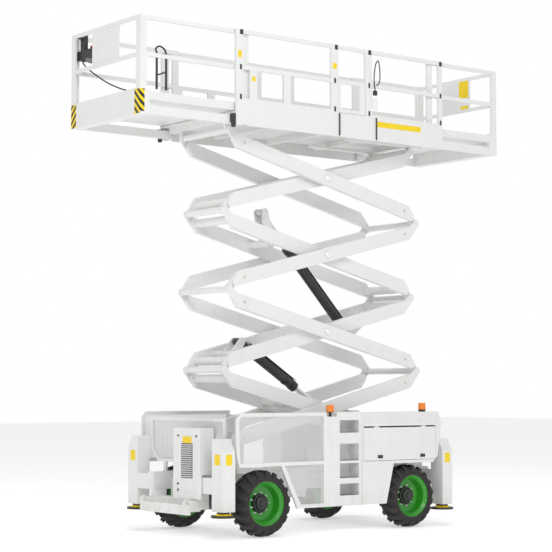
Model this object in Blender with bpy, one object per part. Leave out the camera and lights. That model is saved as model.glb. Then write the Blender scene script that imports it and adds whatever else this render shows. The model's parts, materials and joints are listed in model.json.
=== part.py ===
"""Four stage diesel scissor lift with stabiliser jacks and two sliding deck extensions.

Metres, +Z up. +X runs from the front of the machine to its rear, and -Y is the side with the ladder.
The origin is on the ground, under the middle of the machine's outline.
"""

import math

import bmesh
import bpy
from mathutils import Matrix, Vector
from mathutils.geometry import tessellate_polygon

# ---- driving dimensions -------------------------------------------------------------------------
GAP = 0.0003  # between meshes that touch
RUN = 0.006  # between pieces that move past each other
ROUND = 16  # sides of a pin, a hole or a tube

# wheels
STEERED_END = "rear"
WHEEL_X = {"front": -1.34, "rear": 1.245}
TYRE_RADIUS = 0.44
TYRE_WIDTH = 0.32
RIM_RADIUS = 0.293
DISC_SETBACK = 0.17  # from the rim's outer edge to the wheel disc
WHEEL_FACE_Y = 1.10
WHEEL_SIDES = 28
KINGPIN_Y = 0.83

# scissor
BASE_PIN_X = -1.57
BASE_PIN_Z = 1.125
ARM_LENGTH = 3.539  # pin to pin
REST_ANGLE = math.radians(17.77)  # of the line through an arm's two pins
STAGES = 4
ARM_DEPTH = 0.19
ARM_THICKNESS = 0.08
OUTER_ARM_Y = 0.585  # outside face of the outer arms
ARM_PLANE_GAP = 0.04
PIN_OFFSET = 0.11  # of an end pin from the arm's middle line
PIN_RADIUS = 0.03
CENTRE_PIN_RADIUS = 0.035
LUG_RADIUS = 0.055
LUG_SETBACK = 0.07  # the full box stops this far short of an end pin
CHAMFER_RUN = 0.19
SHAFT_TUBE_RADIUS = 0.045
CROSS_TUBE_RADIUS = 0.06
CROSS_TUBE_INSET = 0.17
ROLLER_RADIUS = 0.06

# lift cylinders: pin on the barrel's frame, pin on the rod's frame
BARREL_RADIUS = 0.066
ROD_RADIUS = 0.04
UPPER_BARREL_PIN = (0.95, 2.75)
UPPER_ROD_PIN = (-0.62, 4.42)
LOWER_BARREL_PIN = (-1.02, 2.60)
LOWER_ROD_PIN = (0.52, 1.62)
UPPER_BARREL_LENGTH = 1.62
UPPER_ROD_TAIL = 0.58  # from the barrel pin, at rest
LOWER_BARREL_LENGTH = 1.16
LOWER_ROD_TAIL = 0.44
CYLINDER_PIN_RADIUS = 0.028
BRACKET_THICKNESS = 0.02
EYE_WIDTH = 0.12
BRACKET_Y = 0.081  # inside face of a cylinder bracket's plates

# platform
EXTENSION_END_X = 3.205
EXTENSION_HALF_WIDTH = 0.8575
MAIN_FRONT_X = -1.72
MAIN_REAR_X = 2.03
MAIN_HALF_WIDTH = 0.91
TOE_THICKNESS = 0.03
TOE_TOP_Z = 5.79
BEAM_BOTTOM_Z = 5.455
FLOOR_TOP_Z = 5.645
FLOOR_THICKNESS = 0.03
RAIL_TOP_Z = 6.745
MID_RAIL_Z = 6.235
RAIL_HEIGHT = 0.055
RAIL_THICKNESS = 0.04
POST_WIDTH = 0.1
EXTENSION_OVERLAP = 0.25
END_BEAM_LENGTH = 0.15
INSET = 0.002  # of a piece inside another that it joins

# chassis
RAIL_OUT_Y = 0.62
RAIL_IN_Y = 0.475
CHASSIS_RAIL_Z = (0.58, 0.82)
COLUMN_X = {"front": (-2.085, -1.885), "rear": (1.785, 1.975)}
COLUMN_Y = (0.885, 1.126)
COLUMN_Z = {"front": (0.36, 1.30), "rear": (0.30, 1.235)}
SIDE_Y = 1.126  # outside face of guards, ladder and housings
GUARD_TOP_Z = 1.63
SKIRT_Z = 0.36
WAIST_Z = 0.93
SHELL = 0.012
HOUSING_X = (0.275, 1.764)
HOUSING_INNER_Y = 0.68
LADDER_X = (-0.174, 0.268)
FOOT_RADIUS = 0.165
LEG_SIDE = 0.12

SIDES = {"near": -1, "far": 1}

# ---- materials ----------------------------------------------------------------------------------
#        name        colour                  roughness metallic
PAINTS = {
    "white": ((0.82, 0.82, 0.81), 0.35, 0.0),
    "grey": ((0.35, 0.35, 0.34), 0.6, 0.0),
    "black": ((0.02, 0.02, 0.02), 0.5, 0.0),
    "green": ((0.03, 0.30, 0.02), 0.3, 0.0),
    "rubber": ((0.02, 0.018, 0.017), 0.85, 0.0),
    "orange": ((0.9, 0.25, 0.01), 0.2, 0.0),
    "steel": ((0.6, 0.6, 0.6), 0.3, 1.0),
}


def paint(name):
    """The Principled material of this name, made once."""
    found = bpy.data.materials.get(name)
    if found:
        return found
    colour, roughness, metallic = PAINTS[name]
    made = bpy.data.materials.new(name)
    made.use_nodes = True
    shader = made.node_tree.nodes["Principled BSDF"]
    shader.inputs["Base Color"].default_value = (*colour, 1)
    shader.inputs["Roughness"].default_value = roughness
    shader.inputs["Metallic"].default_value = metallic
    return made


# ---- scene --------------------------------------------------------------------------------------
def clear_scene():
    for thing in list(bpy.data.objects):
        bpy.data.objects.remove(thing, do_unlink=True)


def new_collection(name, parent=None):
    made = bpy.data.collections.new(name)
    (parent or bpy.context.scene.collection).children.link(made)
    return made


clear_scene()
PARTS = new_collection("scissor_lift")
HELPERS = new_collection("helpers")
HELPERS.hide_render = True


# ---- shapes, each returned as a loose mesh object in world space ---------------------------------
def mesh_object(name, mesh, collection=None):
    thing = bpy.data.objects.new(name, mesh)
    (collection or HELPERS).objects.link(thing)
    return thing


def from_bmesh(name, work):
    mesh = bpy.data.meshes.new(name)
    work.to_mesh(mesh)
    work.free()
    return mesh_object(name, mesh)


def box(x, y, z):
    """A box from (low, high) along each axis."""
    size = Matrix.Diagonal((x[1] - x[0], y[1] - y[0], z[1] - z[0], 1))
    middle = Vector((sum(x) / 2, sum(y) / 2, sum(z) / 2))
    work = bmesh.new()
    bmesh.ops.create_cube(work, size=1, matrix=Matrix.Translation(middle) @ size)
    return from_bmesh("box", work)


def rod(start, end, radius, sides=ROUND, end_radius=None):
    """A round bar between two points, or a cone where the radii differ."""
    start, end = Vector(start), Vector(end)
    along = end - start
    place = Matrix.Translation((start + end) / 2) @ along.to_track_quat("Z", "Y").to_matrix().to_4x4()
    work = bmesh.new()
    bmesh.ops.create_cone(
        work,
        cap_ends=True,
        segments=sides,
        radius1=radius,
        radius2=radius if end_radius is None else end_radius,
        depth=along.length,
        matrix=place,
    )
    return from_bmesh("rod", work)


def cross_rod(x, z, y, radius, sides=ROUND):
    """A round bar along Y, at (x, z), from y[0] to y[1]."""
    return rod((x, y[0], z), (x, y[1], z), radius, sides)


PLANES = {
    "side": Matrix(((1, 0, 0, 0), (0, 0, 1, 0), (0, 1, 0, 0), (0, 0, 0, 1))),
    "end": Matrix(((0, 0, 1, 0), (1, 0, 0, 0), (0, 1, 0, 0), (0, 0, 0, 1))),
    "flat": Matrix.Identity(4),
}


def plate(plane, outlines, across):
    """Flat outlines (the first is the edge, the rest are windows) extruded between across[0] and across[1].

    The plane is "side" (X, Z), "end" (Y, Z) or "flat" (X, Y), and across runs along the third axis.
    """
    rings = [[Vector((u, v, 0)) for u, v in outline] for outline in outlines]
    points = [point for ring in rings for point in ring]
    work = bmesh.new()
    low, high = ([work.verts.new((p.x, p.y, level)) for p in points] for level in across)
    for triangle in tessellate_polygon(rings):
        work.faces.new([low[i] for i in triangle])
        work.faces.new([high[i] for i in triangle])
    first = 0
    for ring in rings:
        last = first + len(ring)
        for i in range(first, last):
            j = first if i + 1 == last else i + 1
            work.faces.new((low[i], low[j], high[j], high[i]))
        first = last
    work.transform(PLANES[plane])
    bmesh.ops.recalc_face_normals(work, faces=work.faces)
    return from_bmesh("plate", work)


def rectangle(u, v):
    return [(u[0], v[0]), (u[1], v[0]), (u[1], v[1]), (u[0], v[1])]


def arc(centre, radius, start, end, steps=12):
    """Points on a round stretch, with angles in radians."""
    angles = [start + (end - start) * i / steps for i in range(steps + 1)]
    return [(centre[0] + radius * math.cos(a), centre[1] + radius * math.sin(a)) for a in angles]


def circle(centre, radius, sides=ROUND):
    return arc(centre, radius, 0, 2 * math.pi * (1 - 1 / sides), sides - 1)


def hole_radius(pin):
    """The radius of a many-sided hole that a pin turns in."""
    return (pin + GAP) / math.cos(math.pi / ROUND)


def turned(profile, axis_point, sides=32):
    """A closed profile of (radius, y) turned about the line along Y through axis_point (x, z)."""
    work = bmesh.new()
    rings = []
    for radius, y in profile:
        count = sides if radius > 0 else 1
        turns = [2 * math.pi * k / count for k in range(count)]
        ring = [
            work.verts.new((axis_point[0] + radius * math.cos(t), y, axis_point[1] + radius * math.sin(t)))
            for t in turns
        ]
        rings.append(ring * (sides // count))
    for i, ring in enumerate(rings):
        after = rings[(i + 1) % len(rings)]
        for k in range(sides):
            corners = (ring[k], ring[(k + 1) % sides], after[(k + 1) % sides], after[k])
            distinct = list(dict.fromkeys(corners))
            if len(distinct) > 2:
                work.faces.new(distinct)
    bmesh.ops.recalc_face_normals(work, faces=work.faces)
    return from_bmesh("turned", work)


def pivot(name, place):
    """An empty on a joint's axis, which its pieces are parented to."""
    empty = bpy.data.objects.new(name, None)
    empty.location = place
    empty.empty_display_size = 0.1
    PARTS.objects.link(empty)
    return empty


def node(name, colour, solids, cuts=(), parent=None):
    """One named piece: its solids joined, then cut, by Booleans that stay on it."""
    piece = solids[0]
    HELPERS.objects.unlink(piece)
    PARTS.objects.link(piece)
    piece.name = piece.data.name = name
    piece.data.materials.append(paint(colour))
    for label, group, operation in (("join", solids[1:], "UNION"), ("cut", cuts, "DIFFERENCE")):
        if not group:
            continue
        tools = new_collection(f"{name}_{label}", HELPERS)
        for thing in group:
            HELPERS.objects.unlink(thing)
            tools.objects.link(thing)
            thing.hide_render = True
            thing.display_type = "WIRE"
        change = piece.modifiers.new(label, "BOOLEAN")
        change.operation = operation
        change.operand_type = "COLLECTION"
        change.solver = "MANIFOLD"
        change.collection = tools
    if parent:
        piece.parent = parent
        piece.matrix_parent_inverse = Matrix.Translation(parent.location).inverted()
    return piece


# ---- scissor geometry ---------------------------------------------------------------------------
HALF_DEPTH = ARM_DEPTH / 2
PIN_REACH = math.sqrt((ARM_LENGTH / 2) ** 2 - PIN_OFFSET**2)  # along the arm from its centre pin
ARM_TILT = REST_ANGLE - math.asin(PIN_OFFSET / (ARM_LENGTH / 2))  # of the box itself
STAGE_HEIGHT = ARM_LENGTH * math.sin(REST_ANGLE)
SPAN = ARM_LENGTH * math.cos(REST_ANGLE)
MIDDLE_X = BASE_PIN_X + SPAN / 2
TOP_PIN_Z = BASE_PIN_Z + STAGES * STAGE_HEIGHT
INNER_ARM_Y = OUTER_ARM_Y - ARM_THICKNESS - ARM_PLANE_GAP
HALF_LUG = (ARM_THICKNESS - RUN) / 2


def stage_middle(stage):
    return (MIDDLE_X, BASE_PIN_Z + (stage - 0.5) * STAGE_HEIGHT)


def placed(points, stage, rising):
    """Points along and across an arm, turned and moved to its place in a stage."""
    sign = 1 if rising else -1
    cos, sin = math.cos(ARM_TILT), math.sin(ARM_TILT)
    x0, z0 = stage_middle(stage)
    return [(x0 + sign * (u * cos - v * sin), z0 + u * sin + v * cos) for u, v in points]


def box_outline():
    """The full thickness part of an arm: both far corners cut away towards the pins."""
    chamfer = CHAMFER_RUN - LUG_SETBACK
    slope = (HALF_DEPTH + PIN_OFFSET) / (CHAMFER_RUN + LUG_RADIUS)
    half = [
        (PIN_REACH - CHAMFER_RUN, -HALF_DEPTH),
        (PIN_REACH - LUG_SETBACK, -HALF_DEPTH + chamfer * slope),
        (PIN_REACH - LUG_SETBACK, HALF_DEPTH),
    ]
    return half + [(-u, -v) for u, v in half]


def lug_outline(end):
    """The half thickness plate round an end pin: end is 1 for the upper pin, -1 for the lower."""
    shape = [
        (PIN_REACH - CHAMFER_RUN - 0.08, -HALF_DEPTH + 0.002),
        (PIN_REACH - CHAMFER_RUN, -HALF_DEPTH + 0.002),
        *arc((PIN_REACH, PIN_OFFSET), LUG_RADIUS, -0.8, math.pi / 2, 8),
        (PIN_REACH - 0.12, HALF_DEPTH - 0.002),
        (PIN_REACH - CHAMFER_RUN - 0.08, HALF_DEPTH - 0.002),
    ]
    return [(end * u, end * v) for u, v in shape]


def pin_place(stage, rising, end):
    return placed([(end * PIN_REACH, end * PIN_OFFSET)], stage, rising)[0]


def arm_solids(stage, rising, outer):
    """The two arms of one frame, without their tubes: box, upper lug outside, lower lug inside."""
    face = OUTER_ARM_Y if outer else INNER_ARM_Y
    layers = (
        (box_outline(), (face - ARM_THICKNESS, face)),
        (lug_outline(1), (face - HALF_LUG, face - 0.001)),
        (lug_outline(-1), (face - ARM_THICKNESS + 0.001, face - ARM_THICKNESS + HALF_LUG)),
    )
    return [
        plate("side", [placed(outline, stage, rising)], sorted((side * across[0], side * across[1])))
        for side in SIDES.values()
        for outline, across in layers
    ]


def both_sides(make, y):
    """make((low, high)) for a stretch of y on each side of the machine."""
    return [make(tuple(sorted((side * y[0], side * y[1])))) for side in SIDES.values()]


def cylinder_bracket(frame_point, pin, tube_radius=0.05):
    """A cross tube at frame_point between the inner arms and two plates from it to a cylinder pin."""
    (tube_x, tube_z), (pin_x, pin_z) = frame_point, pin
    inner = INNER_ARM_Y - ARM_THICKNESS
    along = Vector((pin_x - tube_x, pin_z - tube_z))
    heading = math.atan2(along.y, along.x)
    outline = [
        *arc(pin, 0.055, heading - math.pi / 2, heading + math.pi / 2, 8),
        *arc(frame_point, tube_radius + 0.02, heading + math.pi / 2, heading + 3 * math.pi / 2, 8),
    ]
    plates = both_sides(lambda y: plate("side", [outline], y), (BRACKET_Y, BRACKET_Y + BRACKET_THICKNESS))
    return [cross_rod(tube_x, tube_z, (-inner - 0.01, inner + 0.01), tube_radius), *plates]


def scissor_frame(stage, outer, parent):
    """One frame: two arms, the shaft at its upper pins and, on inner frames, tubes between them."""
    rising = (stage % 2 == 1) == outer
    face = OUTER_ARM_Y if outer else INNER_ARM_Y
    inside = face - ARM_THICKNESS
    upper, lower = (pin_place(stage, rising, end) for end in (1, -1))
    solids = arm_solids(stage, rising, outer)
    cuts = []
    solids.append(cross_rod(*upper, (-face - 0.01, face + 0.01), PIN_RADIUS))
    solids.append(cross_rod(*upper, (-inside + RUN / 2, inside - RUN / 2), SHAFT_TUBE_RADIUS))
    if outer:
        solids += both_sides(
            lambda y: cross_rod(*stage_middle(stage), y, CENTRE_PIN_RADIUS),
            (INNER_ARM_Y - ARM_THICKNESS - 0.01, face + 0.012),
        )
    else:
        cuts.append(cross_rod(*stage_middle(stage), (-1, 1), hole_radius(CENTRE_PIN_RADIUS)))
        for end in (1, -1):
            place = placed([(end * (PIN_REACH - CROSS_TUBE_INSET), end * 0.03)], stage, rising)[0]
            solids.append(cross_rod(*place, (-inside - 0.01, inside + 0.01), CROSS_TUBE_RADIUS))
    roller_y = (face - HALF_LUG, face)
    if stage == 1 and not outer:
        solids.append(cross_rod(*lower, (-face, face), PIN_RADIUS))
        solids += both_sides(lambda y: cross_rod(*lower, y, ROLLER_RADIUS), roller_y)
    else:
        cuts.append(cross_rod(*lower, (-1, 1), hole_radius(PIN_RADIUS)))
    if stage == STAGES and not outer:
        under = (face - ARM_THICKNESS, face - ARM_THICKNESS + HALF_LUG)
        solids += both_sides(lambda y: cross_rod(*upper, y, ROLLER_RADIUS), under)
    if not outer and stage in BRACKETS:
        for tube_along, pin, pinned in BRACKETS[stage]:
            solids += cylinder_bracket(placed([tube_along], stage, rising)[0], pin)
            if pinned:
                reach = BRACKET_Y + BRACKET_THICKNESS + 0.01
                solids.append(cross_rod(*pin, (-reach, reach), CYLINDER_PIN_RADIUS))
    name = f"stage_{stage}_{'outer' if outer else 'inner'}_arms"
    return node(name, "white", solids, cuts, parent)


# stage: [(bracket tube along and across the arm, pin, whether the pin is fixed in the bracket)]
BRACKETS = {
    1: [((0.42, 0.0), LOWER_ROD_PIN, False)],
    2: [((-1.30, 0.0), LOWER_BARREL_PIN, True), ((1.22, 0.0), UPPER_BARREL_PIN, True)],
    3: [((0.66, 0.0), UPPER_ROD_PIN, False)],
}


def build_scissor():
    """Outer frames are hinged end to end, and each inner frame on the middle of its outer one."""
    for stage in range(1, STAGES + 1):
        x, z = pin_place(stage, stage % 2 == 1, -1)
        scissor_frame(stage, True, pivot(f"outer_pivot_{stage}", (x, 0, z)))
        x, z = stage_middle(stage)
        scissor_frame(stage, False, pivot(f"inner_pivot_{stage}", (x, 0, z)))


def lift_cylinder(name, barrel_pin, rod_pin, barrel_length, rod_tail):
    """A barrel with an eye on its pin and a rod whose eye lies between the other bracket's plates."""
    start, end = Vector((barrel_pin[0], 0, barrel_pin[1])), Vector((rod_pin[0], 0, rod_pin[1]))
    way = (end - start).normalized()
    half_eye = EYE_WIDTH / 2
    eye = 0.05
    mouth = start + way * barrel_length
    empty = pivot(f"{name}_pivot", start)
    barrel = [
        rod(start + way * 0.03, mouth, BARREL_RADIUS),
        cross_rod(*barrel_pin, (-half_eye, half_eye), eye),
        rod(mouth - way * 0.06, mouth + way * 0.02, BARREL_RADIUS + 0.008),
    ]
    bore = ROD_RADIUS + 0.0006
    cuts = [
        cross_rod(*barrel_pin, (-1, 1), hole_radius(CYLINDER_PIN_RADIUS)),
        rod(start + way * 0.12, mouth + way * 0.1, bore),
    ]
    node(f"{name}_barrel", "black", barrel, cuts, empty)
    gland = mouth + way * 0.02
    tail = start + way * rod_tail
    rod_solids = [
        rod(tail, end - way * 0.03, ROD_RADIUS),
        cross_rod(*rod_pin, (-half_eye + 0.005, half_eye - 0.005), 0.048),
    ]
    hole = [cross_rod(*rod_pin, (-1, 1), hole_radius(CYLINDER_PIN_RADIUS))]
    node(f"{name}_rod", "steel", rod_solids, hole, pivot(f"{name}_rod_end", gland))


# ---- wheels and axles ---------------------------------------------------------------------------
TYRE_MIDDLE_Y = WHEEL_FACE_Y - TYRE_WIDTH / 2
AXLE_Z = TYRE_RADIUS


def tyre_profile(side):
    """Closed section of a tyre: tread, rounded shoulders, bulged walls and the bead seat."""
    half = TYRE_WIDTH / 2
    outer = [
        (TYRE_RADIUS, 0.62 * half),
        (TYRE_RADIUS - 0.03, 0.86 * half),
        (TYRE_RADIUS - 0.08, half),
        (RIM_RADIUS + 0.02, 0.97 * half),
        (RIM_RADIUS + GAP, 0.88 * half),
    ]
    section = outer + [(radius, -y) for radius, y in reversed(outer)]
    return [(radius, side * TYRE_MIDDLE_Y + y) for radius, y in section]


def rim_profile(side):
    """Closed section of a deep rim: flanges, barrel, dished disc and hub, down to the axis."""
    half = 0.86 * TYRE_WIDTH / 2
    disc = half - DISC_SETBACK
    wall = 0.014
    section = [
        (RIM_RADIUS, half),
        (RIM_RADIUS - wall, half),
        (RIM_RADIUS - 0.05, half - 0.04),
        (RIM_RADIUS - 0.065, disc + 0.02),
        (0.12, disc),
        (0.105, disc + 0.03),
        (0.085, disc + 0.075),
        (0.0, disc + 0.085),
        (0.0, disc - 0.03),
        (0.11, disc - 0.03),
        (0.12, disc - wall),
        (RIM_RADIUS - 0.05, disc - wall),
        (RIM_RADIUS - 0.05, -half + 0.02),
        (RIM_RADIUS - wall, -half),
        (RIM_RADIUS, -half),
    ]
    return [(radius, side * (TYRE_MIDDLE_Y + y)) for radius, y in section]


def build_wheels():
    for end, x in WHEEL_X.items():
        for label, side in SIDES.items():
            hub = pivot(f"{end}_{label}_hub", (x, side * TYRE_MIDDLE_Y, AXLE_Z))
            place = (x, AXLE_Z)
            node(f"{end}_{label}_tyre", "rubber", [turned(tyre_profile(side), place, WHEEL_SIDES)], parent=hub)
            node(f"{end}_{label}_rim", "green", [turned(rim_profile(side), place, WHEEL_SIDES)], parent=hub)


def hub_face_y():
    """Inboard face of the hub, which the axle or knuckle meets."""
    return TYRE_MIDDLE_Y + 0.86 * TYRE_WIDTH / 2 - DISC_SETBACK - 0.03


def build_axles():
    for end, x in WHEEL_X.items():
        steered = end == STEERED_END
        face = hub_face_y() - GAP
        reach = KINGPIN_Y - 0.04 if steered else face
        solids = [box((x - 0.07, x + 0.07), (-0.74, 0.74), (AXLE_Z - 0.065, AXLE_Z + 0.065))]
        solids.append(rod((x, -0.16, AXLE_Z), (x, 0.16, AXLE_Z), 0.15, 16))
        solids += both_sides(lambda y: cross_rod(x, AXLE_Z, y, 0.055), (0.7, reach if not steered else 0.76))
        for side in SIDES.values():
            seat = (side * 0.47, side * 0.6)
            solids.append(box((x - 0.06, x + 0.06), tuple(sorted(seat)),
                              (AXLE_Z, CHASSIS_RAIL_Z[0] - GAP)))
        if steered:
            for side in SIDES.values():
                fork = tuple(sorted((side * 0.745, side * (KINGPIN_Y + 0.03))))
                for low, high in ((-0.13, -0.1), (0.1, 0.13)):
                    solids.append(box((x - 0.04, x + 0.04), fork, (AXLE_Z + low, AXLE_Z + high)))
                web = tuple(sorted((side * 0.74, side * 0.765)))
                solids.append(box((x - 0.04, x + 0.04), web, (AXLE_Z - 0.13, AXLE_Z + 0.13)))
        node(f"{end}_axle", "black", solids)
    x = WHEEL_X[STEERED_END]
    for label, side in SIDES.items():
        yoke = tuple(sorted((side * (KINGPIN_Y - 0.03), side * (KINGPIN_Y + 0.03))))
        stub = tuple(sorted((side * KINGPIN_Y, side * (hub_face_y() - GAP))))
        solids = [
            box((x - 0.035, x + 0.035), yoke, (AXLE_Z - 0.1 + GAP, AXLE_Z + 0.1 - GAP)),
            cross_rod(x, AXLE_Z, stub, 0.05),
        ]
        node(f"{STEERED_END}_{label}_knuckle", "black", solids,
             parent=pivot(f"{STEERED_END}_{label}_kingpin", (x, side * KINGPIN_Y, AXLE_Z)))


# ---- chassis ------------------------------------------------------------------------------------
def tower_outline(x, z):
    """A bracket plate standing on the rail, round at its pin."""
    low = CHASSIS_RAIL_Z[1] - 0.05
    return [(x + 0.14, low), *arc((x, z), LUG_RADIUS, 0, math.pi, 10), (x - 0.14, low)]


def build_chassis_frame():
    front, rear = COLUMN_X["front"], COLUMN_X["rear"]
    z = CHASSIS_RAIL_Z
    solids = both_sides(lambda y: box((front[0], rear[1]), y, z), (RAIL_IN_Y, RAIL_OUT_Y))
    for x in ((-1.66, -1.48), (0.25, 0.4), (rear[0], rear[1])):
        solids.append(box(x, (-RAIL_IN_Y - 0.02, RAIL_IN_Y + 0.02), (z[0] + 0.02, z[1] - 0.02)))
    for x in (front, rear):
        solids += both_sides(lambda y, x=x: box((x[0] + 0.01, x[1] - 0.01), y, (z[0], z[1] - 0.03)),
                             (RAIL_OUT_Y - 0.02, COLUMN_Y[0] - GAP))
    towers = (
        (OUTER_ARM_Y - HALF_LUG + 0.002, OUTER_ARM_Y + 0.002),
        (RAIL_IN_Y + 0.002, RAIL_IN_Y + 0.022),
    )
    tower = tower_outline(BASE_PIN_X, BASE_PIN_Z)
    for across in towers:
        solids += both_sides(lambda y: plate("side", [tower], y), across)
    solids += both_sides(lambda y: cross_rod(BASE_PIN_X, BASE_PIN_Z, y, PIN_RADIUS),
                         (RAIL_IN_Y + 0.001, OUTER_ARM_Y + 0.012))
    track_top = BASE_PIN_Z - ROLLER_RADIUS - GAP
    track_x = (BASE_PIN_X + ARM_LENGTH * math.cos(math.radians(50)) - 0.1, rear[1])
    web = (RAIL_IN_Y + 0.001, RAIL_IN_Y + 0.02)
    solids += both_sides(lambda y: box(track_x, y, (z[1] - 0.01, track_top)), web)
    shelf = (INNER_ARM_Y - ARM_THICKNESS, RAIL_IN_Y + 0.01)
    solids += both_sides(lambda y: box(track_x, y, (track_top - 0.03, track_top)), shelf)
    node("chassis_frame", "white", solids)


COLUMN_CHAMFER = (0.10, 0.17)  # width and height of the slope at a column's outer top edge


def build_jacks():
    for end, (x0, x1) in COLUMN_X.items():
        low, high = COLUMN_Z[end]
        for label, side in SIDES.items():
            y0, y1 = COLUMN_Y
            y = tuple(sorted((side * y0, side * y1)))
            middle = ((x0 + x1) / 2, side * (y0 + y1) / 2)
            half = LEG_SIDE / 2
            hollow = half + RUN
            slide = hollow - 0.0005
            section = [(side * y0, low), (side * y1, low), (side * y1, high - COLUMN_CHAMFER[1]),
                       (side * (y1 - COLUMN_CHAMFER[0]), high), (side * y0, high)]
            column = [plate("end", [section], (x0, x1))]
            bore = [box((middle[0] - hollow, middle[0] + hollow), (middle[1] - hollow, middle[1] + hollow),
                        (low - 0.1, high - 0.15))]
            node(f"{end}_{label}_jack_column", "white", column, bore)
            foot_top = low - 0.045
            leg = [
                box((middle[0] - half, middle[0] + half), (middle[1] - half, middle[1] + half),
                    (foot_top - 0.01, high - 0.22)),
                box((middle[0] - slide, middle[0] + slide), (middle[1] - slide, middle[1] + slide),
                    (high - 0.30, high - 0.225)),
                rod((*middle, foot_top - 0.03), (*middle, foot_top), FOOT_RADIUS),
            ]
            node(f"{end}_{label}_jack_leg", "black", leg,
                 parent=pivot(f"{end}_{label}_jack", (*middle, low)))


def guard(name, side, outline, windows):
    """A frame with a thin perforated sheet in it, drawn here as a plain sheet."""
    y = tuple(sorted((side * (SIDE_Y - 0.03), side * SIDE_Y)))
    sheet = tuple(sorted((side * (SIDE_Y - 0.018), side * (SIDE_Y - 0.012))))
    return plate("side", [outline, *windows], y), plate("side", [outline], sheet)


def build_guards():
    post = (-0.357, LADDER_X[0] - GAP)
    bar = 0.05
    upper = [(-1.815, WAIST_Z), (post[0], WAIST_Z), (post[0], GUARD_TOP_Z), (-1.80, GUARD_TOP_Z),
             (-1.87, GUARD_TOP_Z - 0.08), (-1.862, 1.08)]
    upper_window = [(-1.79, WAIST_Z + bar), (post[0] - bar, WAIST_Z + bar),
                    (post[0] - bar, GUARD_TOP_Z - bar), (-1.78, GUARD_TOP_Z - bar),
                    (-1.82, GUARD_TOP_Z - 0.1), (-1.812, 1.10)]
    lower = [(-0.86, SKIRT_Z), (post[0], SKIRT_Z), (post[0], WAIST_Z + 0.02), (-1.14, WAIST_Z + 0.02)]
    lower_window = [(-0.80, SKIRT_Z + bar), (post[0] - bar, SKIRT_Z + bar),
                    (post[0] - bar, WAIST_Z), (-1.07, WAIST_Z)]
    for label, side in SIDES.items():
        y = tuple(sorted((side * (SIDE_Y - 0.03), side * SIDE_Y)))
        deep = tuple(sorted((side * (SIDE_Y - 0.12), side * SIDE_Y)))
        stay = tuple(sorted((side * (RAIL_OUT_Y - 0.0003), side * (SIDE_Y - 0.1))))
        solids = [box(post, deep, (SKIRT_Z, GUARD_TOP_Z - 0.06))]
        for outline, window in ((upper, upper_window), (lower, lower_window)):
            solids += list(guard("guard", side, outline, [window]))
        outer_stay = tuple(sorted((side * (RAIL_OUT_Y + GAP), side * (SIDE_Y - 0.02))))
        solids.append(box((-0.36 + 0.1, -0.36 + 0.14), outer_stay, (CHASSIS_RAIL_Z[1] - 0.08,
                                                                  CHASSIS_RAIL_Z[1] - 0.03)))
        node(f"{label}_side_guard", "white", solids)


def build_front_guard():
    """The mesh basket across the front, standing on two legs from the front beam."""
    x = (COLUMN_X["front"][1] + 0.012, COLUMN_X["front"][1] + 0.042)
    edge = [(-0.88, 0.95), (0.70, 0.95), (0.86, 1.12), (0.88, 1.56), (-0.88, 1.56)]
    bar = 0.045
    window = [(-0.88 + bar, 0.95 + bar), (0.68, 0.95 + bar), (0.86 - bar, 1.13),
              (0.88 - bar, 1.56 - bar), (-0.88 + bar, 1.56 - bar)]
    solids = [plate("end", [edge, window], x), plate("end", [edge], (x[0] + 0.012, x[0] + 0.018))]
    for side in SIDES.values():
        foot = tuple(sorted((side * 0.5, side * 0.56)))
        solids.append(box((x[0], x[1]), foot, (CHASSIS_RAIL_Z[1] + GAP, 0.99)))
    node("front_guard", "white", solids)


def build_front():
    front = COLUMN_X["front"][0]
    x = (front - 0.03, front + 0.19)
    # cabinet in front of the near column's inner face
    y, z = (-0.66, -0.04), (0.50, 1.43)
    cabinet = [box(x, y, z)]
    recess = [box((x[0] - 0.1, x[0] + 0.012), (y[0] + 0.06, y[1] - 0.06), (z[0] + 0.08, z[1] - 0.09))]
    cabinet_cuts = recess + [box((front - GAP, 0), (-1, 1), (CHASSIS_RAIL_Z[0] - 0.1, CHASSIS_RAIL_Z[1] + GAP))]
    node("front_cabinet", "grey", cabinet, cabinet_cuts)
    # bumper beam with two lifting eyes, on arms from the frame
    beam = [box((-2.245, -2.20), (-0.57, 0.57), (0.30, 0.43))]
    for side in SIDES.values():
        arm = tuple(sorted((side * 0.44, side * 0.56)))
        beam.append(box((-2.21, front + 0.05), arm, (0.34, 0.49)))
        beam.append(box((front + 0.005, -1.90), arm, (0.36, CHASSIS_RAIL_Z[0] - GAP)))
        eye = tuple(sorted((side * 0.49, side * 0.52)))
        ring = circle((-2.225, 0.46), 0.05, 16)
        beam.append(plate("side", [ring, circle((-2.225, 0.465), 0.025, 16)], eye))
    beam.append(box((-1.99, -1.90), (-0.56, 0.56), (0.38, 0.50)))
    node("front_bumper", "white", beam)
    unit = [
        rod((-1.945, 0.16, 0.50 + GAP), (-1.945, 0.16, 0.74), 0.06),
        rod((-1.945, 0.16, 0.735), (-1.945, 0.16, 0.80), 0.035),
    ]
    node("hydraulic_filter", "steel", unit)


def housing_outline():
    """Side view of a rear housing: lower locker in front of the wheel, upper body over it."""
    x0, x1 = HOUSING_X
    return [(x0, SKIRT_Z), (0.717, SKIRT_Z), (0.856, WAIST_Z - 0.02), (1.60, WAIST_Z - 0.02),
            (1.69, 1.0), (x1, 1.45), (x1, 1.62), (x0, 1.62)]


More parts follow.
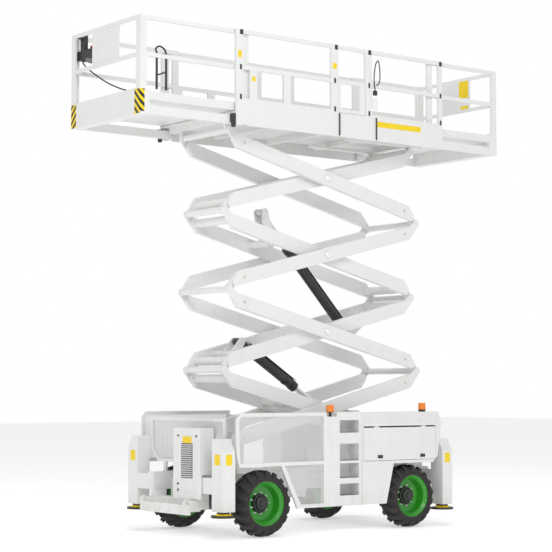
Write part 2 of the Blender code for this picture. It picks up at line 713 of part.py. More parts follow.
def build_housings():
    x0, x1 = HOUSING_X
    outer = SIDE_Y
    cover_z = (WAIST_Z + 0.02, 1.43)
    cover_x = (x0 + 0.03, 1.66)
    for label, side in SIDES.items():
        y = tuple(sorted((side * HOUSING_INNER_Y, side * outer)))
        body = [plate("side", [housing_outline()], y)]
        for x in (0.45, 1.45):
            stay = tuple(sorted((side * (RAIL_OUT_Y + GAP), side * (HOUSING_INNER_Y + 0.01))))
            body.append(box((x, x + 0.06), stay, (CHASSIS_RAIL_Z[0] + 0.14, CHASSIS_RAIL_Z[1] + 0.14)))
        slope = [
            (side * (outer + 0.01), 1.45), (side * (outer + 0.01), 1.7), (side * (outer - 0.09), 1.7),
            (side * (outer - 0.06), 1.62), (side * outer, 1.46),
        ]
        cavity_y = tuple(sorted((side * (HOUSING_INNER_Y + SHELL), side * (outer + 0.1))))
        cuts = [
            plate("end", [slope], (x0 - 0.1, x1 + 0.1)),
            box((cover_x[0], cover_x[1]), cavity_y, cover_z),
        ]
        node(f"{label}_rear_housing", "white", body, cuts)
        knuckle = 0.0195
        hinge = (x0 + 0.5, side * (outer - 0.0125), cover_z[1] - knuckle - 0.0005)
        panel_y = tuple(sorted((side * (outer - 0.025), side * outer)))
        panel = [box((cover_x[0] + RUN, cover_x[1] - RUN), panel_y, (cover_z[0] + RUN, hinge[2]))]
        for x in (cover_x[0] + 0.2, cover_x[1] - 0.28):
            panel.append(rod((x, hinge[1], hinge[2]), (x + 0.08, hinge[1], hinge[2]), knuckle))
        node(f"{label}_housing_door", "white", panel, parent=pivot(f"{label}_door_hinge", hinge))
    engine_y = (-SIDE_Y + 0.06, -HOUSING_INNER_Y - SHELL - GAP)
    node("engine_block", "black", [box((0.55, 1.25), engine_y, (cover_z[0] + GAP, cover_z[1] - 0.05))])


def build_ladder():
    """A box with four recessed steps, open to the side."""
    x0, x1 = LADDER_X
    y = (-SIDE_Y, -SIDE_Y + 0.26)
    solids = [box((x0, x1), y, (SKIRT_Z, GUARD_TOP_Z))]
    #        low    high
    steps = ((0.50, 0.66), (0.735, 0.935), (0.97, 1.20), (1.35, 1.52))
    cuts = [box((x0 + 0.05, x1 - 0.05), (-SIDE_Y - 0.1, -SIDE_Y + 0.2), step) for step in steps]
    solids.append(box((0.0, 0.1), (-SIDE_Y + 0.25, -RAIL_OUT_Y - GAP), (CHASSIS_RAIL_Z[0], CHASSIS_RAIL_Z[1])))
    node("ladder", "white", solids, cuts)


def build_beacons():
    """Orange lamps: one on a curved stem in front of the ladder, one on the rear housing."""
    places = {
        "side": ((-0.27, -SIDE_Y + 0.03), GUARD_TOP_Z - 0.06 + GAP),
        "rear": ((1.52, -SIDE_Y + 0.14), 1.62 + GAP),
    }
    for label, ((x, y), z) in places.items():
        stem = 0.06 if label == "side" else 0.025
        solids = [
            rod((x, y, z), (x, y, z + stem), 0.02 if label == "side" else 0.05, 12),
            rod((x, y, z + stem - 0.002), (x, y, z + stem + 0.1), 0.055, 16, 0.05),
        ]
        node(f"{label}_beacon", "orange", solids)


# ---- platform -----------------------------------------------------------------------------------
FLOOR_Z = (FLOOR_TOP_Z - FLOOR_THICKNESS, FLOOR_TOP_Z)
CROSS_Z = (TOP_PIN_Z + ROLLER_RADIUS + 0.03, FLOOR_TOP_Z - FLOOR_THICKNESS + 0.005)


def build_main_deck(parent):
    x = (MAIN_FRONT_X, MAIN_REAR_X)
    half = MAIN_HALF_WIDTH
    solids = [box(x, (-half, half), FLOOR_Z)]
    solids += both_sides(lambda y: box(x, y, (BEAM_BOTTOM_Z, TOE_TOP_Z)), (half - TOE_THICKNESS, half))
    inner = EXTENSION_HALF_WIDTH - 0.085
    for at in (-1.62, -0.85, 0.1, 1.0, 1.93):
        solids.append(box((at - 0.04, at + 0.04), (-inner, inner), CROSS_Z))
    # tracks for the rollers, and hangers for the top pins
    track_z = (TOP_PIN_Z + ROLLER_RADIUS + GAP, CROSS_Z[0] + 0.01)
    track_x = (BASE_PIN_X + ARM_LENGTH * math.cos(math.radians(50)) - 0.1, MAIN_REAR_X)
    track_y = (INNER_ARM_Y - ARM_THICKNESS - 0.005, INNER_ARM_Y)
    solids += both_sides(lambda y: box(track_x, y, track_z), track_y)
    hanger_y = (OUTER_ARM_Y - ARM_THICKNESS, OUTER_ARM_Y - ARM_THICKNESS + HALF_LUG)
    high = CROSS_Z[0] + 0.01
    hanger = [*arc((BASE_PIN_X, TOP_PIN_Z), LUG_RADIUS, math.pi, 2 * math.pi, 10),
              (BASE_PIN_X + 0.1, high), (BASE_PIN_X - 0.08, high)]
    solids += both_sides(lambda y: plate("side", [hanger], y), hanger_y)
    cuts = [cross_rod(BASE_PIN_X, TOP_PIN_Z, (-1, 1), hole_radius(PIN_RADIUS))]
    node("main_deck", "white", solids, cuts, parent)


def rail_panel(plane, u, posts, across, bottom, short_posts=(), opening=None):
    """A guard rail as one flat frame: top and middle rail, posts, and windows between them.

    posts is a list of (low, high) along u, short_posts stop at the middle rail, and opening is the
    stretch of u, between two posts, that has only the top rail.
    """
    mid = (MID_RAIL_Z - RAIL_HEIGHT / 2, MID_RAIL_Z + RAIL_HEIGHT / 2)
    top = RAIL_TOP_Z - RAIL_HEIGHT
    edge = rectangle(u, (bottom, RAIL_TOP_Z))
    if opening:
        left, right = opening
        edge[1:1] = [(left, bottom), (left, top), (right, top), (right, bottom)]
    bars = sorted([*posts, *short_posts])
    windows = []
    for group, low, high in ((sorted(posts), mid[1], top), (bars, bottom + 0.03, mid[0])):
        for left, right in zip(group, group[1:]):
            if (left[1], right[0]) != opening:
                windows.append(rectangle((left[1], right[0]), (low, high)))
    return plate(plane, [edge, *windows], across)


GATE_X = (0.056, 0.54)
GATE_HINGE_Z = (5.86, 6.12)


def build_main_rails(parent):
    full = [(MAIN_FRONT_X, -1.60), (-0.08, 0.05), (0.546, 0.666), (1.96, MAIN_REAR_X)]
    half_height = [(-1.49, -1.37), (-0.915, -0.80)]
    y = (MAIN_HALF_WIDTH - RAIL_THICKNESS, MAIN_HALF_WIDTH)
    bottom = TOE_TOP_Z + GAP
    for label, side in SIDES.items():
        across = tuple(sorted((side * y[0], side * y[1])))
        opening = (full[1][1], full[2][0]) if label == "near" else None
        panel = rail_panel("side", (MAIN_FRONT_X, MAIN_REAR_X), full, across, bottom, half_height, opening)
        node(f"{label}_guard_rail", "white", [panel], parent=parent)
    across = (-y[1] + 0.004, -y[0] - 0.004)
    gate = rectangle(GATE_X, (bottom + RUN, MID_RAIL_Z + RAIL_HEIGHT / 2))
    window = rectangle((GATE_X[0] + 0.04, GATE_X[1] - 0.1), (bottom + 0.06, MID_RAIL_Z - RAIL_HEIGHT / 2))
    knuckles = [rod((GATE_X[0], -y[0], z), (GATE_X[0], -y[0], z + 0.05), RUN - 0.0005, 8) for z in GATE_HINGE_Z]
    node("entry_gate", "white", [plate("side", [gate, window], across), *knuckles],
         parent=pivot("gate_hinge", (GATE_X[0], -y[0], bottom)))


def extension(name, sign, inner_x, beam_inner_x, panel_y, parent):
    """A sliding deck: floor over the main floor, end beam, lower beams in the main side beams, and rails."""
    end = sign * EXTENSION_END_X
    half = EXTENSION_HALF_WIDTH
    floor_z = (FLOOR_TOP_Z + RUN, FLOOR_TOP_Z + RUN + 0.02)

    def along(a, b):
        return tuple(sorted((a, b)))

    back = end - sign * END_BEAM_LENGTH
    solids = [box(along(back, end), (-half, half), (BEAM_BOTTOM_Z + 0.007, TOE_TOP_Z - 0.005))]
    # the rest starts a little inside the end beam, so that no two faces of the union lie together
    start = end - sign * 0.01
    solids.append(box(along(start, inner_x), (-half + INSET, half - INSET), floor_z))
    solids += both_sides(lambda y: box(along(inner_x, inner_x + sign * 0.06), y, (FLOOR_TOP_Z + GAP, floor_z[1] - 0.01)),
                         (0.5, 0.7))
    toe = (floor_z[0] + 0.001, TOE_TOP_Z - 0.03)
    toe_end = inner_x + sign * INSET
    solids += both_sides(lambda y: box(along(start, toe_end), y, toe), (half - 0.022, half - 2 * INSET))
    beam = (BEAM_BOTTOM_Z + 0.01, FLOOR_Z[0] - 0.035)
    solids += both_sides(lambda y: box(along(start, beam_inner_x), y, beam), (half - 0.055, half - INSET))
    # well behind the end beam, so that it is a frame and not a block
    well = box(along(end - sign * 0.02, back - sign * 0.1), (-half + 0.06, half - 0.06), (floor_z[1] + 0.002, RAIL_TOP_Z))
    post = (half - RAIL_THICKNESS, half - INSET / 2)
    bottom = floor_z[0] + 0.005
    rail_end = end - sign * INSET / 2
    rail_inner = inner_x + sign * 2 * INSET
    posts = [along(rail_end, end - sign * POST_WIDTH), along(rail_inner, inner_x + sign * POST_WIDTH)]
    for side in SIDES.values():
        across = tuple(sorted((side * post[0], side * post[1])))
        solids.append(rail_panel("side", along(rail_end, rail_inner), posts, across, bottom))
    edge = half - INSET
    cross = [(-edge, -half + POST_WIDTH), (half - POST_WIDTH, edge)]
    across = along(end - sign * INSET / 4, end - sign * RAIL_THICKNESS)
    solids.append(rail_panel("end", (-edge, edge), cross, across, TOE_TOP_Z - 0.02))
    sheet = along(end - sign * 0.012, end - sign * 0.020)
    solids.append(box(sheet, panel_y, (MID_RAIL_Z, RAIL_TOP_Z - 0.01)))
    node(name, "white", solids, [well], parent)


CABLE_ROUTE = [
    (-3.09, 0.745, 6.395),
    (-3.09, 0.745, 6.38),
    (-3.09, 0.745, 6.365),
    (-3.085, 0.66, 6.3),
    (-3.08, 0.5, 6.215),
    (-3.08, 0.28, 6.105),
    (-3.08, 0.06, 5.995),
    (-3.08, -0.16, 5.89),
    (-3.08, -0.33, 5.812),
    (-3.08, -0.43, 5.765),
    (-3.08, -0.455, 5.735),
    (-3.08, -0.455, 5.72),
    (-3.08, -0.455, 5.71),
]
CABLE_RADIUS = 0.009


def smooth_route(points, steps):
    """Points on the Catmull-Rom curve through these, steps to each stretch."""
    padded = [points[0], *points, points[-1]]
    found = []
    for i in range(len(points) - 1):
        a, b, c, d = (Vector(p) for p in padded[i : i + 4])
        for k in range(steps):
            t = k / steps
            found.append(0.5 * (2 * b + (c - a) * t + (2 * a - 5 * b + 4 * c - d) * t * t
                                + (3 * b - a - 3 * c + d) * t**3))
    return [*found, Vector(points[-1])]


def build_controls(parent):
    solids = [
        box((-3.15, -3.02), (0.44, 0.80), (6.395, 6.52)),
        box((-3.15, -3.09), (0.62, 0.72), (6.50, 6.68)),
        rod((-3.06, 0.55, 6.51), (-3.06, 0.55, 6.56), 0.03, 12),
    ]
    node("control_box", "black", solids, parent=parent)
    curve = bpy.data.curves.new("control_cable", "CURVE")
    curve.dimensions = "3D"
    curve.bevel_depth = CABLE_RADIUS
    curve.bevel_resolution = 2
    curve.use_fill_caps = True
    route = smooth_route(CABLE_ROUTE, 4)
    route[0].z -= GAP
    spline = curve.splines.new("POLY")
    spline.points.add(len(route) - 1)
    for point, place in zip(spline.points, route):
        point.co = (*place, 1)
    cable = bpy.data.objects.new("control_cable", curve)
    curve.materials.append(paint("black"))
    PARTS.objects.link(cable)
    cable.parent = parent
    cable.matrix_parent_inverse = Matrix.Translation(parent.location).inverted()
    plug = CABLE_ROUTE[-1]
    socket = [rod((plug[0], plug[1], FLOOR_TOP_Z + RUN + 0.022 + GAP), (plug[0], plug[1], plug[2] - GAP), 0.02, 12)]
    node("control_socket", "black", socket, parent=parent)


def build_platform():
    top = pivot("platform_pivot", (BASE_PIN_X, 0, TOP_PIN_Z))
    build_main_deck(top)
    build_main_rails(top)
    front = pivot("front_extension_slide", (MAIN_FRONT_X, 0, FLOOR_TOP_Z))
    rear = pivot("rear_extension_slide", (MAIN_REAR_X, 0, FLOOR_TOP_Z))
    extension("front_extension", -1, MAIN_FRONT_X + EXTENSION_OVERLAP, MAIN_FRONT_X + 0.15,
              (-0.33, 0.34), front)
    extension("rear_extension", 1, MAIN_REAR_X - EXTENSION_OVERLAP, MAIN_REAR_X - 0.15,
              (-0.31, 0.32), rear)
    build_controls(front)


# ---- assembly -----------------------------------------------------------------------------------
build_chassis_frame()
build_axles()
build_wheels()
build_jacks()
build_guards()
build_front_guard()
build_front()
build_housings()
build_ladder()
build_beacons()
build_scissor()
lift_cylinder("upper_lift", UPPER_BARREL_PIN, UPPER_ROD_PIN, UPPER_BARREL_LENGTH, UPPER_ROD_TAIL)
lift_cylinder("lower_lift", LOWER_BARREL_PIN, LOWER_ROD_PIN, LOWER_BARREL_LENGTH, LOWER_ROD_TAIL)
build_platform()
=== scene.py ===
"""Looks of a four stage scissor lift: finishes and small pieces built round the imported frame.

Metres, +Z up.
"""

import json
import math

import bmesh
import bpy
import numpy as np
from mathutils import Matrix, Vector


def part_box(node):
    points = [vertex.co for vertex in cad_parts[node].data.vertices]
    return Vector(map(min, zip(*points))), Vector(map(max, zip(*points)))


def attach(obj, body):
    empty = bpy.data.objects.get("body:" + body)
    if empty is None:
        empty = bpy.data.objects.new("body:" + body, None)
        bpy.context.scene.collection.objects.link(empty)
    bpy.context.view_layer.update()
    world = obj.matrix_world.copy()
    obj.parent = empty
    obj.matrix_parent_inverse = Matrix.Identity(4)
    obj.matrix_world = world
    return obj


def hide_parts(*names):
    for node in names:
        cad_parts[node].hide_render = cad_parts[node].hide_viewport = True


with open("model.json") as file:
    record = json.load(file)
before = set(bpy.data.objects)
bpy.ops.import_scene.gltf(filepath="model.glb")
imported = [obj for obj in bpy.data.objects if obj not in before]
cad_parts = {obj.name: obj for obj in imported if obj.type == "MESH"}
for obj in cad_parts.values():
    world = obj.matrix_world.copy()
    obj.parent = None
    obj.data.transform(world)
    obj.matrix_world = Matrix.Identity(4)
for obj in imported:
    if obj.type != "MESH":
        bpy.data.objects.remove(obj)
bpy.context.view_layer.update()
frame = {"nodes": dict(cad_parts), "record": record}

bl_info = {
    "name": "Scissor lift looks",
    "version": (1, 0, 0),
    "blender": (4, 5, 0),
    "location": "View3D > Sidebar > Lift",
    "description": "Paint, tread, hoses, clips, plates and a stage for a scissor lift",
    "category": "Object",
}

SIDES = {"near": -1.0, "far": 1.0}
FILM = 0.0006  # how far a blank plate stands out of its face
ENDS = ("front", "rear")
STAGES = 4


# ---- places, read from the frame -----------------------------------------------------------------
def low_high(node):
    """Both corners of a CAD node's box as arrays."""
    low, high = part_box(node)
    return np.array(low), np.array(high)


def joint(name, key):
    """A joint's place (pos_m) or axis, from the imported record."""
    found = next(j for j in frame["record"]["behaviour"]["joints"] if j["name"] == name)
    return np.array(found[key])


# ---- surfaces as arrays ---------------------------------------------------------------------------
def grid_faces(rows, columns, close_rows, close_columns):
    """Quads over a grid of rows x columns points, each corner's index being row * columns + column."""
    r = np.arange(rows if close_rows else rows - 1)
    c = np.arange(columns if close_columns else columns - 1)
    r, c = (a.ravel() for a in np.meshgrid(r, c, indexing="ij"))
    r1, c1 = (r + 1) % rows, (c + 1) % columns
    return np.stack([r * columns + c, r1 * columns + c, r1 * columns + c1, r * columns + c1], axis=1)


def capped(rows, sides):
    """Faces over a row of rings, with one flat face over each end."""
    faces = grid_faces(rows, sides, False, True).tolist()
    return [*faces, list(range(sides)), list(range(rows * sides - 1, (rows - 1) * sides - 1, -1))]


def lathe(profile, centre, axis, sides=32):
    """A closed profile of (radius, distance along axis) turned about an axis: every point is
    centre + distance * axis + radius * (cos a * u + sin a * v), with u and v across the axis.
    A profile that starts and ends near the axis is closed by two flat caps.
    """
    profile = np.asarray(profile, float)
    axis = np.asarray(axis, float) / np.linalg.norm(axis)
    u = np.cross(axis, (0.0, 0.0, 1.0) if abs(axis[2]) < 0.9 else (1.0, 0.0, 0.0))
    u /= np.linalg.norm(u)
    v = np.cross(axis, u)
    a = np.linspace(0, 2 * np.pi, sides, endpoint=False)
    ring = np.cos(a)[:, None] * u + np.sin(a)[:, None] * v
    points = np.asarray(centre) + profile[:, None, 1:2] * axis + profile[:, None, :1] * ring
    return points.reshape(-1, 3), capped(len(profile), sides)


def turned_ring(profile, centre, axis, sides=48):
    """As lathe, for a profile that goes round a hollow middle and closes on itself."""
    points, _ = lathe(profile, centre, axis, sides)
    return points, grid_faces(len(profile), sides, True, True).tolist()


def tube(path, radius, sides=10):
    """A round section carried along a path: path(t) + radius * (cos a * n(t) + sin a * b(t)),
    where n and b are square to the path's direction. Both ends are capped.
    """
    path = np.asarray(path, float)
    along = np.gradient(path, axis=0)
    along /= np.linalg.norm(along, axis=1, keepdims=True)
    spread = np.abs(along).mean(axis=0)
    steady = np.eye(3)[int(np.argmin(spread))]
    n = np.cross(along, steady)
    n /= np.linalg.norm(n, axis=1, keepdims=True)
    b = np.cross(along, n)
    a = np.linspace(0, 2 * np.pi, sides, endpoint=False)
    cos, sin = np.cos(a)[None, :, None], np.sin(a)[None, :, None]
    points = path[:, None] + radius * (cos * n[:, None] + sin * b[:, None])
    return points.reshape(-1, 3), capped(len(path), sides)


def smooth(points, steps=8):
    """Points along the Catmull-Rom cubic through these: each stretch blends its four neighbours by t."""
    p = np.asarray(points, float)
    padded = np.vstack([2 * p[0] - p[1], p, 2 * p[-1] - p[-2]])
    a, b, c, d = (padded[i : i + len(p) - 1][:, None] for i in range(4))
    t = np.linspace(0, 1, steps, endpoint=False)[None, :, None]
    curve = 0.5 * (2 * b + (c - a) * t + (2 * a - 5 * b + 4 * c - d) * t**2 + (3 * b - a - 3 * c + d) * t**3)
    return np.vstack([curve.reshape(-1, 3), p[-1]])


CUBE = np.array([[x, y, z] for x in (-1, 1) for y in (-1, 1) for z in (-1, 1)], float)
CUBE_FACES = np.array([[0, 1, 3, 2], [4, 6, 7, 5], [0, 4, 5, 1], [2, 3, 7, 6], [0, 2, 6, 4], [1, 5, 7, 3]])


def blocks(centres, halves):
    """Boxes as one mesh: each corner is centre + half size * (+-1, +-1, +-1)."""
    centres = np.atleast_2d(np.asarray(centres, float))
    halves = np.broadcast_to(np.asarray(halves, float), centres.shape)
    points = centres[:, None] + halves[:, None] * CUBE
    faces = CUBE_FACES[None] + 8 * np.arange(len(centres))[:, None, None]
    return points.reshape(-1, 3), faces.reshape(-1, 4).tolist()


def span(low, high):
    """One box between two corners."""
    low, high = np.minimum(low, high), np.maximum(low, high)
    return blocks((low + high) / 2, (high - low) / 2)


def joined(shapes):
    """Several (points, faces) as one."""
    points, faces, first = [], [], 0
    for own_points, own_faces in shapes:
        points.append(own_points)
        faces += [[first + i for i in face] for face in own_faces]
        first += len(own_points)
    return np.vstack(points), faces


def piece(name, shapes, body, material, bevel=0.0, shade_smooth=False):
    """A finished piece in the frame: its mesh, finish, body and slot."""
    points, faces = joined(shapes)
    mesh = bpy.data.meshes.new(name)
    mesh.from_pydata(points.tolist(), [], faces)
    mesh.polygons.foreach_set("use_smooth", np.full(len(mesh.polygons), shade_smooth))
    mesh.update()
    made = bpy.data.objects.new(name, mesh)
    bpy.context.scene.collection.objects.link(made)
    mesh.materials.append(material)
    outward(mesh)
    if bevel:
        edge = made.modifiers.new("edges", "BEVEL")
        edge.width = bevel
        edge.segments = 2
        edge.limit_method = "ANGLE"
    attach(made, body)
    return made


def outward(mesh):
    """Turns every face of closed shapes outwards."""
    work = bmesh.new()
    work.from_mesh(mesh)
    bmesh.ops.recalc_face_normals(work, faces=work.faces)
    work.to_mesh(mesh)
    work.free()


# ---- shader maths ---------------------------------------------------------------------------------
class Wire:
    """A socket that reads like a number: + - * / add Math nodes."""

    def __init__(self, graph, socket):
        self.graph = graph
        self.socket = socket

    def __add__(self, other):
        return self.graph.math("ADD", self, other)

    def __sub__(self, other):
        return self.graph.math("SUBTRACT", self, other)

    def __rsub__(self, other):
        return self.graph.math("SUBTRACT", other, self)

    def __mul__(self, other):
        return self.graph.math("MULTIPLY", self, other)

    __radd__ = __add__
    __rmul__ = __mul__

    def above(self, edge):
        return self.graph.math("GREATER_THAN", self, edge)

    def below(self, edge):
        return self.graph.math("LESS_THAN", self, edge)

    def size(self):
        return self.graph.math("ABSOLUTE", self)

    def wave(self):
        return self.graph.math("SINE", self)

    def fraction(self):
        return self.graph.math("FRACT", self)

    def ramp(self, start, end):
        """0 below start, 1 above end and a smooth rise between."""
        settings = {"interpolation_type": "SMOOTHSTEP"}
        values = {"Value": self, "From Min": start, "From Max": end}
        return Wire(self.graph, self.graph.node("ShaderNodeMapRange", settings, values).outputs["Result"])


class Finish:
    """A material whose nodes are added by name."""

    def __init__(self, name, roughness=0.4, metallic=0.0):
        self.material = bpy.data.materials.new(name)
        self.material.use_nodes = True
        self.tree = self.material.node_tree
        self.shader = self.tree.nodes["Principled BSDF"]
        self.feed("Roughness", roughness)
        self.feed("Metallic", metallic)
        place = self.node("ShaderNodeTexCoord")
        self.place = place.outputs["Object"]
        split = self.node("ShaderNodeSeparateXYZ", inputs={0: self.place})
        self.x, self.y, self.z = (Wire(self, socket) for socket in split.outputs)

    def node(self, kind, settings=None, inputs=None):
        """Adds a node, sets its settings, then fills its sockets with values or links."""
        made = self.tree.nodes.new(kind)
        for key, value in (settings or {}).items():
            setattr(made, key, value)
        for key, value in (inputs or {}).items():
            self.fill(made.inputs[key], value)
        return made

    def fill(self, socket, value):
        if isinstance(value, Wire):
            value = value.socket
        if isinstance(value, bpy.types.NodeSocket):
            self.tree.links.new(value, socket)
        elif isinstance(value, tuple) and len(value) == 3 and socket.type == "RGBA":
            socket.default_value = (*value, 1.0)
        else:
            socket.default_value = value

    def feed(self, name, value):
        self.fill(self.shader.inputs[name], value)

    def math(self, operation, a, b=0.0):
        made = self.node("ShaderNodeMath", {"operation": operation}, {0: a, 1: b})
        return Wire(self, made.outputs[0])

    def mix(self, factor, a, b):
        """Colour a where factor is 0 and b where it is 1."""
        made = self.node("ShaderNodeMix", {"data_type": "RGBA"}, {0: factor, 6: a, 7: b})
        return made.outputs[2]

    def noise(self, scale, detail=3.0, stretch=(1.0, 1.0, 1.0)):
        moved = self.node("ShaderNodeMapping", inputs={"Vector": self.place, "Scale": stretch})
        values = {"Vector": moved.outputs[0], "Scale": scale, "Detail": detail}
        return Wire(self, self.node("ShaderNodeTexNoise", inputs=values).outputs["Fac"])

    def bump(self, height, strength, distance=0.002):
        values = {"Height": height, "Strength": strength, "Distance": distance}
        self.feed("Normal", self.node("ShaderNodeBump", inputs=values).outputs[0])

    def between(self, value, low, high):
        return value.above(low) * value.below(high)


def shade(colour, factor):
    return tuple(min(1.0, c * factor) for c in colour)


# ---- finishes -------------------------------------------------------------------------------------
def painted(name, colour, roughness=0.32, grime=0.10, dust_below=0.0):
    """Sprayed gloss paint: soft mottling, streaks that run down, orange peel, and road dust low on it."""
    f = Finish(name)
    mottle = f.noise(2.2, 4.0).ramp(0.35, 0.75)
    streak = f.noise(9.0, 3.0, (1.0, 1.0, 0.12)).ramp(0.52, 0.80)
    base = f.mix(mottle * grime, colour, shade(colour, 0.80))
    base = f.mix(streak * grime, base, shade(colour, 0.62))
    if dust_below:
        dust = (1.0 - f.z.ramp(0.0, dust_below)) * f.noise(6.0, 5.0).ramp(0.35, 0.70)
        base = f.mix(dust * 0.45, base, (0.42, 0.38, 0.33))
    f.feed("Base Color", base)
    f.feed("Roughness", roughness + f.noise(14.0, 3.0) * 0.12)
    f.feed("Coat Weight", 0.25)
    f.bump(f.noise(160.0, 2.0), 0.05, 0.001)
    return f


def white_paint(colour):
    return painted("white_paint", colour).material


def chassis_white(colour):
    return painted("chassis_white", colour, grime=0.14, dust_below=0.7).material


def perforated(name, colour, sheet_mask):
    """White paint with a diamond lattice of holes in the thin sheet only."""
    f = painted(name, colour, grime=0.14, dust_below=0.7)
    pitch = 0.026
    turn = math.pi / pitch
    along = (f.x + f.y) if name.startswith("front") else f.x
    lattice = ((along + f.z) * turn).wave() * ((along - f.z) * turn).wave()
    f.feed("Alpha", 1.0 - lattice.size().above(0.24) * sheet_mask(f))
    return f.material


def side_sheet(f):
    """1 inside the side guards' sheets, which stand between their frames' two faces."""
    outer = float(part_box("far_side_guard")[1].y)
    return f.between(f.y.size(), outer - 0.0190, outer - 0.0110) * f.x.below(-0.36)


def front_sheet(f):
    inner = float(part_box("front_guard")[0].x)
    return f.between(f.x, inner + 0.0110, inner + 0.0190)


def deck_plate(colour):
    """Floor with raised bars one way and the other, on white painted sides."""
    f = painted("deck_plate", colour, roughness=0.4, grime=0.12)
    bars = ((f.x + f.y) * 120.0).wave() * ((f.x - f.y) * 120.0).wave()
    f.bump(bars.ramp(0.2, 0.8), 0.35, 0.002)
    return f.material


def green_paint(colour):
    return painted("green_paint", colour, roughness=0.28, grime=0.30).material


def black_paint():
    """Satin black, greyer where it is worn."""
    f = Finish("black_paint")
    worn = f.noise(7.0, 5.0).ramp(0.55, 0.78)
    f.feed("Base Color", f.mix(worn * 0.35, (0.018, 0.018, 0.018), (0.09, 0.085, 0.08)))
    f.feed("Roughness", 0.34 + f.noise(30.0, 2.0) * 0.2)
    f.bump(f.noise(120.0, 2.0), 0.06, 0.001)
    return f.material


def grey_paint():
    return painted("grey_paint", (0.50, 0.50, 0.49), roughness=0.38, grime=0.3).material


def tyre_rubber():
    """Dull rubber with grey dust caught in a rough skin."""
    f = Finish("tyre_rubber", 0.86)
    dust = f.noise(11.0, 6.0).ramp(0.45, 0.72)
    f.feed("Base Color", f.mix(dust * 0.5, (0.016, 0.014, 0.013), (0.075, 0.062, 0.055)))
    f.feed("Roughness", 0.75 + f.noise(40.0, 2.0) * 0.2)
    f.bump(f.noise(90.0, 5.0), 0.35, 0.002)
    return f.material


def bright_metal(name, colour=(0.72, 0.72, 0.73), roughness=0.22):
    """Plated or ground steel with fine scratches."""
    f = Finish(name, roughness, 1.0)
    scratch = f.noise(60.0, 4.0, (1.0, 8.0, 8.0))
    f.feed("Base Color", f.mix(f.noise(8.0).ramp(0.4, 0.8) * 0.4, colour, shade(colour, 0.6)))
    f.feed("Roughness", roughness + scratch * 0.2)
    f.bump(scratch, 0.06, 0.001)
    return f.material


def hazard(colour):
    """Slanting bars of yellow and black across a corner plate."""
    f = Finish("hazard_stripes", 0.35)
    across = (f.y.size() + f.z + f.x * 0.8) * 9.5
    bar = across.fraction().above(0.5)
    f.feed("Base Color", f.mix(bar, (0.012, 0.012, 0.012), colour))
    f.feed("Roughness", 0.3 + f.noise(20.0) * 0.2)
    return f.material


def plastic(name, colour, roughness=0.38):
    """Moulded plastic with a faint grain and a little fading."""
    f = Finish(name, roughness)
    f.feed("Base Color", f.mix(f.noise(12.0).ramp(0.35, 0.8) * 0.35, colour, shade(colour, 0.72)))
    f.feed("Roughness", roughness + f.noise(60.0) * 0.15)
    f.bump(f.noise(300.0, 2.0), 0.08, 0.0005)
    return f.material


def beacon_finish(colour, lens_from):
    """Black base and stem, and a ribbed orange lens above lens_from, its colour darker in bands along the
    ribs as painted shade of the ribs.
    """
    f = Finish("beacon_" + str(int(lens_from * 1000)), 0.2)
    lens = f.z.above(lens_from)
    ribs = (f.z * 420.0).wave().ramp(-0.4, 0.8)
    # painted shade: the lens colour darkens in bands that follow the ribs, standing in for how light falls on
    # them
    rib_shaded_lens = f.mix(ribs * 0.4, colour, shade(colour, 0.55))
    f.feed("Base Color", f.mix(lens, (0.015, 0.015, 0.015), rib_shaded_lens))
    f.bump(ribs, 0.3, 0.002)
    return f.material


def cable_finish():
    """Black jacket with red lengths of sleeve."""
    f = Finish("cable_jacket", 0.5)
    sleeve = (f.y - 0.36).size().below(0.085)
    sleeve = sleeve + (f.y - 0.62).size().below(0.035) + (f.y - 0.02).size().below(0.03)
    f.feed("Base Color", f.mix(sleeve, (0.015, 0.015, 0.015), (0.45, 0.02, 0.015)))
    f.feed("Roughness", 0.45 + f.noise(50.0) * 0.2)
    return f.material


# ---- settings a user would change -------------------------------------------------------------------
def colour_property(name, description, default):
    return bpy.props.FloatVectorProperty(
        name=name, description=description, default=default, size=3, min=0.0, max=1.0, subtype="COLOR"
    )


class LiftColours(bpy.types.PropertyGroup):
    """Colours of the lift"""

    white: colour_property("White", "Paint of chassis, arms and platform", (0.80, 0.80, 0.79))
    green: colour_property("Green", "Paint of the rims", (0.025, 0.30, 0.015))
    yellow: colour_property("Yellow", "Blank plates and hazard bars", (0.90, 0.66, 0.01))
    orange: colour_property("Orange", "Lens of the beacons", (0.95, 0.24, 0.01))
    red: colour_property("Red", "Emergency stop button", (0.60, 0.01, 0.01))


class LiftSizes(bpy.types.PropertyGroup):
    """Sizes of the small pieces"""

    lug_count: bpy.props.IntProperty(name="Lugs", description="Tread lugs in one row", default=18, min=8)
    lug_height: bpy.props.FloatProperty(
        name="Lug height", description="Depth of the tread", default=0.034, unit="LENGTH"
    )
    nut_count: bpy.props.IntProperty(name="Wheel nuts", description="Nuts on a wheel", default=9, min=3)
    plate_thickness: bpy.props.FloatProperty(
        name="Plate", description="Thickness of a blank plate or sticker", default=0.002, unit="LENGTH"
    )
    hose_radius: bpy.props.FloatProperty(
        name="Hose radius", description="Radius of a hydraulic hose", default=0.011, unit="LENGTH"
    )
    cable_diameter: bpy.props.FloatProperty(
        name="Cable", description="Thickness of the control cable", default=0.018, unit="LENGTH"
    )
    slat_count: bpy.props.IntProperty(name="Slats", description="Slats of the grille", default=16, min=2)


def colours():
    return bpy.context.scene.lift_colours


def sizes():
    return bpy.context.scene.lift_sizes


def finish_named(name):
    return bpy.data.materials[name]


